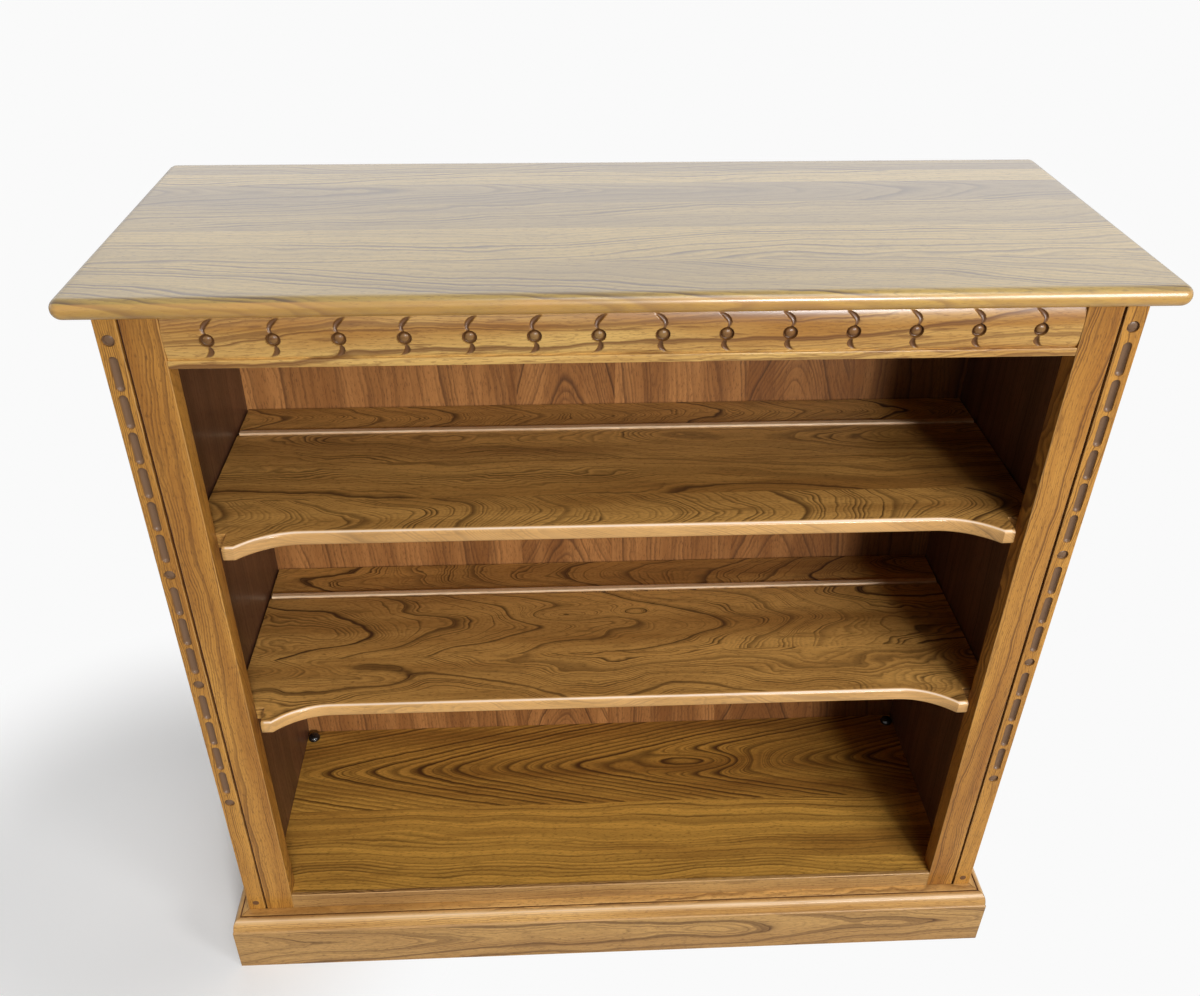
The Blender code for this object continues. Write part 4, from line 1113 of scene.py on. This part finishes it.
@dataclass
class FriezeRail(Part):
    """The rail under the top: a flat lip, a cushioned face and a row of carved motifs.

    Each motif is a ball in a round sinking with a tapering gouge above and one
    below. The motifs right of the middle are mirrored. A gouge's path gives the
    share of span, the share of rise and the swell of each of its points.
    """

    lip_height: float = 0.0082
    lip_back: float = 0.0003
    quirk_depth: float = 0.0034
    quirk_height: float = 0.0010
    crown_height: float = 0.0330
    top_back: float = 0.0085
    arris: float = 0.0009
    count: int = 14
    pitch: float = 0.0589
    motif_height: float = 0.0284
    ball: Sinking = Sinking(ball=0.0053, rim=0.0069, depth=0.0034, top=-0.0002, bend=3)
    block: float = 0.0105
    beside: tuple[float, float] = (0.0132, 0.0160)
    span: float = 0.0090
    rise: float = 0.0180
    gouge_half: float = 0.0029
    gouge_depth: float = 0.0026
    # Carved colour, full at this depth: partly stain taken by the cut, partly painted shade in the hollows.
    stain_depth: float = 0.0012
    stain: float = 0.95
    ball_stain: float = 0.72
    gouge_points: int = 60
    gouge_smoothings: int = 3
    rows_below: int = 15
    rows_above: int = 32
    upper: tuple[tuple[float, float, float], ...] = (
        (0.867, 1.144, 0.06), (0.667, 1.094, 0.30), (0.444, 1.033, 0.54), (0.222, 0.956, 0.74),
        (0.022, 0.867, 0.86), (-0.156, 0.756, 0.84), (-0.244, 0.639, 0.70), (-0.222, 0.533, 0.56),
        (-0.133, 0.422, 0.46), (-0.089, 0.333, 0.44))
    lower: tuple[tuple[float, float, float], ...] = (
        (0.111, -0.333, 0.44), (0.133, -0.400, 0.48), (0.178, -0.478, 0.64), (0.222, -0.567, 0.86),
        (0.222, -0.661, 0.96), (0.133, -0.767, 0.90), (-0.044, -0.867, 0.72), (-0.267, -0.956, 0.48),
        (-0.511, -1.017, 0.26), (-0.733, -1.044, 0.06))

    def face(self, z: Array, bottom: float, top: float) -> Array:
        """Depth of the cushioned face behind the front plane.

        Above the crown it falls back as the square of the share climbed; below
        it is a quarter ellipse that springs from the quirk.

        Args:
            z: heights.
            bottom: height of the rail's underside.
            top: height of the rail's top.

        Returns:
            The depths.
        """
        crown = bottom + self.crown_height
        start = bottom + self.lip_height + self.quirk_height
        over = self.lip_back + (self.top_back - self.lip_back) * ((z - crown) / (top - crown)) ** 2
        share = np.clip((z - start) / (crown - start), 0, 1)
        under = self.quirk_depth - (self.quirk_depth - self.lip_back) * np.sqrt(1 - (1 - share) ** 2)
        return np.where(z >= crown, over, under)

    def gouge(self, x: Array, w: Array, path: tuple[tuple[float, float, float], ...]) -> Array:
        """Depth of one gouge cut: a round trough whose half width swells along its path.

        Args:
            x: distance across from the motif's centre.
            w: distance up from the motif's centre.
            path: the gouge's path.

        Returns:
            Depth at each point.
        """
        steps = np.linspace(0, len(path) - 1, self.gouge_points)
        trail = np.stack([np.interp(steps, np.arange(len(path)), row) for row in np.array(path).T])
        trail *= [[self.span], [self.rise], [1]]
        for _ in range(self.gouge_smoothings):
            trail[:, 1:-1] = 0.25 * trail[:, :-2] + 0.5 * trail[:, 1:-1] + 0.25 * trail[:, 2:]
        px, pz, swell = trail
        gap = np.hypot(x[..., None] - px, w[..., None] - pz) / (self.gouge_half * swell)
        width = np.take(swell, gap.argmin(axis=-1))
        return self.gouge_depth * width * np.sqrt(np.maximum(1 - gap.min(axis=-1) ** 2, 0))

    def motif(self, x: Array, w: Array) -> tuple[Array, Array]:
        """Cut one motif: the deeper of its gouges, and inside the rim the ball in its sinking.

        Args:
            x: distance across from the motif's centre.
            w: distance up from the motif's centre.

        Returns:
            Depth at each point, and its share of the darker carved colour, 0 to 1: partly stain, partly
            painted shade.
        """
        far = np.hypot(x, w)
        cut = np.maximum(self.gouge(x, w, self.upper), self.gouge(x, w, self.lower))
        depth = np.where(far < self.ball.rim, self.ball.depths(far), cut)
        least = np.where(far < self.ball.rim, self.ball_stain, 0)
        return depth, self.stain * np.clip(depth / self.stain_depth, least, 1)

    def build(self) -> None:
        """Build and dress the rail.

        Rings stand at stations along X. Each runs up the lip, the quirk and
        the face, then down the back. Near a motif the grid is fine and its
        lines bend into circles round the ball.
        """
        low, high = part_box("frieze_rail")
        front = low.y - self.lip_back
        lip_top = low.z + self.lip_height
        centre = low.z + self.motif_height
        fine = both_ways(np.concatenate([
            np.linspace(0, self.ball.ball, 9),
            np.linspace(self.ball.ball, self.ball.rim, 5)[1:],
            np.linspace(self.ball.rim, self.block, 6)[1:]]))
        below = np.linspace(lip_top + self.quirk_height, centre - self.block, self.rows_below)
        above = np.linspace(centre + self.block, high.z, self.rows_above)
        rows = np.concatenate([below[:-1], centre + fine, above[1:]])
        back, a = self.lip_back, self.arris
        lip = np.array([
            (high.y - front, low.z), (back + a, low.z), (back + 0.3 * a, low.z + 0.3 * a), (back, low.z + a),
            (back, lip_top - a), (back + 0.3 * a, lip_top - 0.3 * a), (back + a, lip_top),
            (self.quirk_depth, lip_top)])
        beside = np.array(self.beside)
        x, z = np.meshgrid(np.concatenate([-beside[::-1], fine, beside]), rows, indexing="ij")
        x, z = round_out(x, z, np.array([centre]), self.block, self.ball.rim)
        plain = np.stack([x, z, *self.motif(x, z - centre)])
        mirrored = plain[:, ::-1] * np.array([-1, 1, 1, 1])[:, None, None]
        end = np.stack([np.zeros(len(rows)), rows, *np.zeros((2, len(rows)))])[:, None]
        places = (np.arange(self.count) - (self.count - 1) / 2) * self.pitch
        motifs = [(place, mirrored if place > 0 else plain) for place in places]
        parts = [(low.x, end), *motifs, (high.x, end)]
        stations = np.concatenate([place + part[0] for place, part in parts])
        _, heights, cuts, stains_and_painted_shade = np.hstack([part for _, part in parts])
        count = len(stations)
        first = stations[:, :1]
        lips = np.broadcast_to(lip, (count, *lip.shape))
        depths = self.face(heights, low.z, high.z) + cuts
        xs = np.hstack([np.repeat(first, len(lip), axis=1), stations, first])
        ys = front + np.hstack([lips[..., 0], depths, np.full((count, 1), high.y - front)])
        zs = np.hstack([lips[..., 1], heights, np.full((count, 1), high.z)])
        carved = np.pad(stains_and_painted_shade, ((0, 0), (len(lip), 1)))
        piece = skin("frieze_rail_cut", np.stack([xs, ys, zs], axis=-1), {"carved": carved})
        self.fit(piece, "frieze", "frieze_rail", "elm_golden")


@dataclass
class Shelf(Part):
    """A loose shelf: ears beside the stiles, a swept-back rounded front, a book stop and its pegs."""

    label: str
    ear_x: float = 0.4121
    ear_width: float = 0.0115
    ear_ease: float = 0.004
    sweep_radius: float = 0.100
    recess: float = 0.0240
    notch_y: float = -0.1393
    edge_radius: float = 0.0045
    notch_radius: float = 0.0006
    edge_wear: float = 0.8
    # Above one: the excess paints a near-white highlight along the upper front arris.
    arris_wear: float = 1.55
    stop_let_in: float = 0.0020
    stop_slack: float = 0.0002
    stop_radii: tuple[float, ...] = (0.0002, 0.0002, 0.0016, 0.0016)
    stop_stations: int = 240
    stop_wobble: float = 0.00012
    stop_waves: tuple[float, float] = (190, 77)
    stop_top: float = 0.0018
    peg_radius: float = 0.0035
    peg_ease: float = 0.001
    peg_shoulder: float = 0.012

    def build(self) -> None:
        """Build and dress the shelf, its stop and its pegs."""
        self.build_board()
        self.build_stop()
        for place in ("front", "rear"):
            for side, label in SIDES:
                self.build_peg(side, f"shelf_peg_{self.label}_{place}_{label}")

    def build_board(self) -> None:
        """Build and dress the board.

        Rings stand at stations along X. Each ring is the shelf's section there,
        with the groove for the stop and both front arrises rounded. The ears
        stand at the front; a circular sweep falls back to the recess line, by
        its radius times one less the cosine of the angle turned.
        """
        node = "shelf_" + self.label
        low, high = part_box(node)
        stop_low, stop_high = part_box("book_stop_" + self.label)
        turn = math.acos(1 - self.recess / self.sweep_radius)
        sweep = self.ear_x - self.ear_width
        start = sweep - self.sweep_radius * math.sin(turn)
        right = np.concatenate([
            np.linspace(0, start, 10), start + (sweep - start) * np.linspace(0, 1, 17)[1:],
            [self.ear_x - self.ear_ease, self.ear_x]])
        over = np.clip((right - start) / self.sweep_radius, 0, math.sin(turn))
        swept = low.y + self.recess - self.sweep_radius * (1 - np.sqrt(1 - over ** 2))
        fronts = np.append(np.where(right > sweep, low.y, swept), [self.notch_y] * 2)
        radii = np.append(np.full(len(right), self.edge_radius), [self.notch_radius] * 2)
        x = both_ways(np.append(right, [self.ear_x, high.x]))
        front = both_ways(fronts, 1)[:, None]
        r = both_ways(radii, 1)[:, None]
        upper, lower = arc(90, 0, 6), arc(0, -90, 6)
        floor = high.z - self.stop_let_in
        near, far = stop_low.y - self.stop_slack, stop_high.y + self.stop_slack
        groove = np.array([
            (high.y, low.z), (high.y, high.z), (far, high.z), (far, floor), (near, floor), (near, high.z)])
        grooves = np.broadcast_to(groove, (len(x), *groove.shape))
        y = np.hstack([grooves[..., 0], front + r - r * np.cos(upper), front + r - r * np.cos(lower)])
        z = np.hstack([grooves[..., 1], high.z - r + r * np.sin(upper), low.z + r + r * np.sin(lower)])
        wear = np.zeros(y.shape)
        wear[:, len(groove) + 1:] = self.edge_wear
        # The upper arris gets a mark above one: wear plus a painted highlight.
        wear[:, len(groove) + 2:len(groove) + 4] = self.arris_wear
        wear[np.abs(x) > self.ear_x - self.stop_slack] = 0
        rings = np.stack([np.broadcast_to(x[:, None], y.shape), y, z], axis=-1)
        piece = skin(node + "_shaped", rings, {"arris": wear})
        self.fit(piece, node, node, "elm_shelf", node + "_body")

    def build_stop(self) -> None:
        """Build and dress the strip that stops books.

        It is a square bar with a rounded top, lowered along its length by the
        product of two sine waves, as a bar planed by hand is a little uneven.
        """
        node = "book_stop_" + self.label
        low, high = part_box(node)
        corners = np.array([(low.y, low.z), (high.y, low.z), (high.y, high.z), (low.y, high.z)])
        section, wear = eased(corners, np.array(self.stop_radii), 4)
        stations = np.linspace(low.x, high.x, self.stop_stations)
        rings = carried(section, stations, 0)
        fast, slow = self.stop_waves
        wave = 1 + np.sin(stations * fast) * np.sin(stations * slow + 1)
        rings[:, :, 2] -= (rings[:, :, 2] > high.z - self.stop_top) * self.stop_wobble * wave[:, None]
        piece = skin(node + "_planed", rings, {"arris": each(wear, len(stations))})
        self.fit(piece, "stop", node, "elm_golden", f"shelf_{self.label}_body")

    def build_peg(self, side: int, node: str) -> None:
        """Build and dress one peg under the shelf, which stays in the case.

        Args:
            side: -1 for left or 1 for right.
            node: the peg's CAD node.
        """
        low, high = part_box(node)
        r, ease, length = self.peg_radius, self.peg_ease, high.x - low.x
        bend = arc(90, 0, 4)
        nose = np.stack([r - ease + ease * np.sin(bend), length - ease + ease * np.cos(bend)], axis=1)
        shank = [(0, 0), (r, 0), (r, self.peg_shoulder), (r - HAIR, self.peg_shoulder + HAIR)]
        place = Vector((high.x if side > 0 else low.x, (low.y + high.y) / 2, (low.z + high.z) / 2))
        profile = np.concatenate([shank, nose, [(0, length)]])
        self.fit(turned(node + "_turned", profile, place, Vector((-side, 0, 0)), 24), "brass", node, "brass")


@dataclass
class BottomBoard(Part):
    """The fixed bottom: its board, the strip over its front edge and two domed caps."""

    radii: tuple[float, ...] = (0.0002, 0.0004, 0.0012, 0.0002)
    stations: int = 20
    cap_radius: float = 0.0085
    cap_height: float = 0.0085
    cap_lift: float = 0.0003
    cap_rim: float = 0.0012
    pin_radius: float = 0.0025

    def build(self) -> None:
        """Build the front strip and the caps; the board keeps its CAD solid."""
        self.wardrobe.dress(bpy.data.objects["bottom_board"], "bottom")
        low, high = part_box("bottom_lipping")
        corners = np.array([(high.y, low.z), (low.y, low.z), (low.y, high.z), (high.y, high.z)])
        section, wear = eased(corners, np.array(self.radii), 4)
        rings = carried(section, np.linspace(low.x, high.x, self.stations), 0)
        piece = skin("bottom_lipping_shaped", rings, {"arris": each(wear, self.stations)})
        self.fit(piece, "lipping", "bottom_lipping", "elm_golden")
        for _, label in SIDES:
            self.build_cap("corner_cap_" + label)

    def build_cap(self, node: str) -> None:
        """Build and dress one cap: a half ellipse over a short rim, turned about its pin.

        Args:
            node: the cap's CAD node.
        """
        low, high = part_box(node)
        r, lift = self.cap_radius, self.cap_lift
        foot = low.z - high.z + self.cap_height
        bend = arc(90, 0, 12)
        rim = lift + self.cap_rim
        dome = np.stack([r * np.sin(bend), rim + (self.cap_height - rim) * np.cos(bend)], axis=1)
        stem = [(0, foot), (self.pin_radius, foot), (self.pin_radius, lift), (r - lift, lift), (r, 2 * lift)]
        place = Vector(((low.x + high.x) / 2, (low.y + high.y) / 2, high.z - self.cap_height))
        piece = turned(node + "_moulded", np.concatenate([stem, dome]), place, Vector((0, 0, 1)), 48)
        self.fit(piece, "plastic", node, "black_plastic")


@dataclass
class Base(Part):
    """Plinth boards and the moulding on them, mitred at the front corners.

    ledges: the moulding's lower outline, as shares of stand-out and height, with each corner's rounding.
    slope: the rest of the outline, with how worn each of its points is; the one point marked above one also
    gets a painted highlight line.
    quirk: the shares of stand-out, then of height, between which the colour is painted dark.
    """

    case_half: float = 0.480
    face_y: float = -0.1645
    front_proud: float = 0.0236
    side_proud: float = 0.0192
    glue: float = 0.0003
    plinth_height: float = 0.0722
    plinth_arris: float = 0.0016
    plinth_flat: float = 0.0012
    plinth_wear: float = 0.7
    moulding_height: float = 0.0168
    crease: float = math.radians(24)
    ledges: tuple[tuple[float, float, float], ...] = (
        (0.00, 0.00, 0.0), (0.00, 1.00, 0.0), (0.40, 1.00, 0.02), (0.42, 0.86, 0.01), (0.49, 0.86, 0.01),
        (0.51, 1.00, 0.02))
    slope: tuple[tuple[float, float], ...] = (
        (0.60, 0.995), (0.68, 0.975), (0.75, 0.925), (0.81, 0.84), (0.86, 0.70), (0.90, 0.50), (0.93, 0.28),
        (0.945, 0.10), (0.95, 0.0))
    # The 1.2 is wear plus a painted highlight line on the slope's upper part.
    slope_wear_and_highlight: tuple[float, ...] = (0.3, 0.7, 1.2, 0.8, 0.3, 0, 0, 0, 0.4)
    quirk: tuple[float, float, float, float] = (0.415, 0.495, 0.7, 0.97)
    front_stations: int = 24
    side_stations: int = 12

    def section(self, of_moulding: bool) -> tuple[Array, Array, Array]:
        """Section of a run, as shares of its stand-out and metres of height.

        Args:
            of_moulding: the moulding's section, not the plinth's.

        Returns:
            The section, how near each point is to an arris, and whether it lies in the quirk.
        """
        if of_moulding:
            ledges = np.array(self.ledges)
            bends, _ = eased(ledges[:, :2], ledges[:, 2], 2)
            section = np.concatenate([bends, self.slope])
            wear = np.concatenate([np.zeros(len(bends)), self.slope_wear_and_highlight])
            out, up = section.T
            start, end, bottom, top = self.quirk
            quirk = (out > start) & (out < end) & (up > bottom) & (up < top)
            return section * (1, self.moulding_height), wear, quirk
        ease, top = self.plinth_arris, self.plinth_height
        bend = arc(90, 0, 5)
        nose = np.stack([
            1 - (ease - ease * np.cos(bend)) / self.front_proud, top - ease + ease * np.sin(bend)], axis=1)
        foot = [(1, top - ease - self.plinth_flat), (1, 0.0006), (0.98, 0)]
        wear = np.concatenate([[0, 0], np.full(len(nose), self.plinth_wear), [0, 0, 0]])
        return np.concatenate([[(0, 0), (0, top)], nose, foot]), wear, np.zeros(len(wear))

    def build_run(self, name: str, side: int, label: str, of_moulding: bool) -> None:
        """Build and dress one straight run between its mitres.

        The front run's points lie at the case's half width plus their share of
        the side's stand-out; a return's points start at the face less their
        share of the front's stand-out. So both meet on one mitre plane.

        Args:
            name: the run's name without its side.
            side: 0 for the front run, -1 or 1 for a return.
            label: the side's name.
            of_moulding: the moulding, not the plinth.
        """
        node = f"{name}_{label}"
        low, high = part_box(node)
        section, wear, quirk = self.section(of_moulding)
        out = section[:, 0]
        if side == 0:
            y = self.face_y - self.glue - out * (self.front_proud - self.glue)
            reach = self.case_half + out * self.side_proud - self.glue
            x = reach * np.linspace(-1, 1, self.front_stations)[:, None]
        else:
            x = side * (self.case_half + self.glue + out * (self.side_proud - self.glue))
            start = self.face_y - out * self.front_proud + self.glue
            y = start + (high.y - start) * np.linspace(0, 1, self.side_stations)[:, None]
        rings = np.stack(np.broadcast_arrays(x, y, low.z + section[:, 1]), axis=-1)
        marks = {"arris": each(wear, len(rings)), "carved": each(quirk, len(rings))}
        key = ("moulding" if of_moulding else "plinth") + ("_side" if side else "")
        self.fit(skin(node + "_run", rings, marks, self.crease), key, node, "elm_golden")

    def build(self) -> None:
        """Build and dress the three plinth boards and the three mouldings."""
        for side, label in ((0, "front"), *SIDES):
            self.build_run("plinth", side, label, False)
            self.build_run("base_moulding", side, label, True)


@dataclass
class Carcass(Part):
    """Boards and fixings that keep their CAD solids and only get their finishes."""

    finishes: dict[str, tuple[str, ...]] = field(default_factory=lambda: {
        "side": ("side_panel_left", "side_panel_right"),
        "back": ("back_panel",),
        "softwood": (
            "bottom_front_rail", "rear_top_rail", "rear_bottom_rail", "top_batten_left", "top_batten_right",
            *(f"glue_block_{corner}" for corner in CORNERS)),
        "zinc": tuple(f"top_screw_{corner}" for corner in CORNERS),
    })

    def build(self) -> None:
        """Dress each carried-over node."""
        for key, nodes in self.finishes.items():
            for node in nodes:
                self.wardrobe.dress(bpy.data.objects[node], key)


@dataclass(frozen=True)
class Softbox:
    """A studio softbox.

    azimuth: degrees to the right of the front. elevation: degrees up.
    level: its share of the plain level, at which a colour facing it renders as written.
    width: degrees that it looks wide from the object.
    distance: metres from the object's middle. Zero is so far that its light comes in parallel.
    """

    name: str
    azimuth: float
    elevation: float
    level: float
    width: float
    distance: float = 0.0


@dataclass
class Studio:
    """Camera at the photograph's viewing angle, low soft light from the front right, pale floor."""

    yaw: float = 0.0501
    pitch: float = -0.5685
    roll: float = 0.0088
    focal_pixels: float = 1069.3121
    centre_x: float = 591.8713
    centre_y: float = 448.8118
    station: tuple[float, float, float] = (-0.0789, -1.0417, 1.3579)
    near: float = 0.05
    far: float = 60
    lamps: tuple[Softbox, ...] = (
        Softbox("front_softbox", 17, 17, 0.58, 10), Softbox("side_softbox", 46, 26, 0.30, 16, 1.8),
        Softbox("overhead_softbox", 24, 58, 0.30, 30), Softbox("rear_softbox", 174, 33, 0.15, 64))
    middle: tuple[float, float, float] = (0.0, -0.1, 0.6)
    white: str = "#fafafa"
    ambient_front: float = 0.0
    ambient_rear: float = 0.36
    ambient_full: float = 0.8
    floor_half: float = 12
    shadow_centre: float = -0.68
    shadow_reach: float = 0.50
    shadow_full: float = 0.35
    shadow_lift: float = 0.09
    paper_lit: str = "#cecece"
    paper_seen: str = "#f6f6f6"
    tooth_per_metre: float = 900.0

    def hang_camera(self) -> None:
        """Set the camera: its axes from yaw, pitch and roll, its lens from the focal length in pixels."""
        level = Vector((math.cos(self.yaw), -math.sin(self.yaw), 0))
        ahead = Vector((math.sin(self.yaw), math.cos(self.yaw), 0))
        forward = ahead * math.cos(self.pitch) + Vector((0, 0, math.sin(self.pitch)))
        upward = level.cross(forward)
        right = level * math.cos(self.roll) + upward * math.sin(self.roll)
        up = upward * math.cos(self.roll) - level * math.sin(self.roll)
        data = bpy.data.cameras.new("camera")
        data.sensor_width = SENSOR_MM
        data.lens = SENSOR_MM * self.focal_pixels / PHOTO_WIDTH
        data.shift_x = (PHOTO_WIDTH / 2 - self.centre_x) / PHOTO_WIDTH
        data.shift_y = (self.centre_y - PHOTO_HEIGHT / 2) / PHOTO_WIDTH
        data.clip_start = self.near
        data.clip_end = self.far
        camera = bpy.data.objects.new("camera", data)
        turn = Matrix((right, up, -forward)).transposed().to_4x4()
        camera.matrix_world = Matrix.Translation(self.station) @ turn
        bpy.context.scene.collection.objects.link(camera)
        bpy.context.scene.camera = camera

    def hang(self, lamp: Softbox) -> None:
        """Hang one softbox turned towards the object.

        A far one is a sun lamp of pi times its level. A near one is a disc whose
        power is pi squared times its level and the square of its distance, which
        gives the same light at the object's middle.

        Args:
            lamp: the softbox.
        """
        data = bpy.data.lights.new(lamp.name, "AREA" if lamp.distance else "SUN")
        if lamp.distance:
            data.shape = "DISK"
            data.size = 2 * lamp.distance * math.tan(math.radians(lamp.width / 2))
            data.energy = lamp.level * (math.pi * lamp.distance) ** 2
        else:
            data.angle = math.radians(lamp.width)
            data.energy = lamp.level * math.pi
        piece = bpy.data.objects.new(lamp.name, data)
        a, e = math.radians(lamp.azimuth), math.radians(lamp.elevation)
        away = Vector((math.sin(a) * math.cos(e), -math.cos(a) * math.cos(e), math.sin(e)))
        piece.location = Vector(self.middle) + away * lamp.distance
        piece.rotation_mode = "QUATERNION"
        piece.rotation_quaternion = away.to_track_quat("Z", "Y")
        bpy.context.scene.collection.objects.link(piece)

    def light_room(self) -> None:
        """Light the room, more from behind than from the front; the camera and reflections see it white."""
        graph = Graph(bpy.data.worlds.new("room"))
        path = graph.put("LightPath").outputs
        seen = graph.maths("MAXIMUM", path["Is Camera Ray"], path["Is Glossy Ray"])
        seen = graph.maths("MAXIMUM", seen, path["Is Transmission Ray"])
        towards = graph.split(graph.put("TexCoord").outputs["Generated"])[1]
        level = graph.remap(towards, 0.0, self.ambient_full, self.ambient_front, self.ambient_rear)
        strength = graph.maths("MAXIMUM", seen, level)
        sky = graph.put("Background", {"Color": linear(self.white), "Strength": strength})
        graph.put("OutputWorld", {0: sky})
        bpy.context.scene.world = graph.owner

    def paper(self) -> Material:
        """Make the floor's matt white backdrop paper.

        Where the distance from the shadow's centre passes its reach, the camera
        sees plain white; nearer, it sees the lit paper with a little lift: a glow that paints light into the
        shadow.

        Returns:
            The finished material.
        """
        graph = Graph(bpy.data.materials.new("matt_white_backdrop_paper"))
        place = graph.place()
        away = graph.vector("ADD", place, (-self.shadow_centre, 0.0, 0.0))
        away = graph.vector("MULTIPLY", away, (1 / self.shadow_reach, 1 / self.shadow_reach, 0.0))
        away = graph.vector("LENGTH", away).outputs["Value"]
        seen = graph.put("LightPath").outputs["Is Camera Ray"]
        clear = graph.maths("MULTIPLY", graph.remap(away, self.shadow_full, 1.0, kind="SMOOTHSTEP"), seen)
        white = linear(self.white)
        # A glow for the camera alone paints light into the paper's shadow.
        lift = graph.maths("MULTIPLY", seen, self.shadow_lift)
        lift = graph.put("Emission", {"Color": white, "Strength": lift})
        tooth = graph.bump(graph.noise(place, self.tooth_per_metre), 0.05, HAIR)
        tint = graph.mix(seen, linear(self.paper_lit), self.paper_seen)
        matt = graph.put("BsdfDiffuse", {"Color": tint, "Normal": tooth})
        shaded = graph.put("AddShader", {0: matt, 1: lift})
        plain = graph.put("Emission", {"Color": white, "Strength": 1.0})
        graph.put("OutputMaterial", {0: graph.put("MixShader", {0: clear, 1: shaded, 2: plain})})
        return graph.owner

    def lay_floor(self) -> None:
        """Lay a pale floor, white to the camera, that keeps the object's shadow on its left."""
        half = self.floor_half
        corners = [(-half, -half, 0), (half, -half, 0), (half, half, 0), (-half, half, 0)]
        mesh = bpy.data.meshes.new("floor")
        mesh.from_pydata(corners, [], [(0, 1, 2, 3)])
        mesh.materials.append(self.paper())
        floor = bpy.data.objects.new("floor", mesh)
        bpy.context.scene.collection.objects.link(floor)

    def build(self) -> None:
        """Set up camera, light, room and floor."""
        self.hang_camera()
        for lamp in self.lamps:
            self.hang(lamp)
        self.light_room()
        self.lay_floor()
        bpy.context.scene.view_settings.view_transform = "Standard"


def main() -> None:
    """Build and dress every piece, then the studio."""
    logging.basicConfig(level=logging.INFO, format="%(name)s: %(message)s")
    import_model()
    wardrobe = Wardrobe()
    TopBoard(wardrobe).build()
    for side, label in SIDES:
        CarvedPost(wardrobe).build(label)
        InnerStile(wardrobe).build(side, label)
        FootPlug(wardrobe).build(label)
    FriezeRail(wardrobe).build()
    Shelf(wardrobe, "upper").build()
    Shelf(wardrobe, "lower").build()
    BottomBoard(wardrobe).build()
    Base(wardrobe).build()
    Carcass(wardrobe).build()
    Studio().build()


if __name__ == "__main__":
    main()
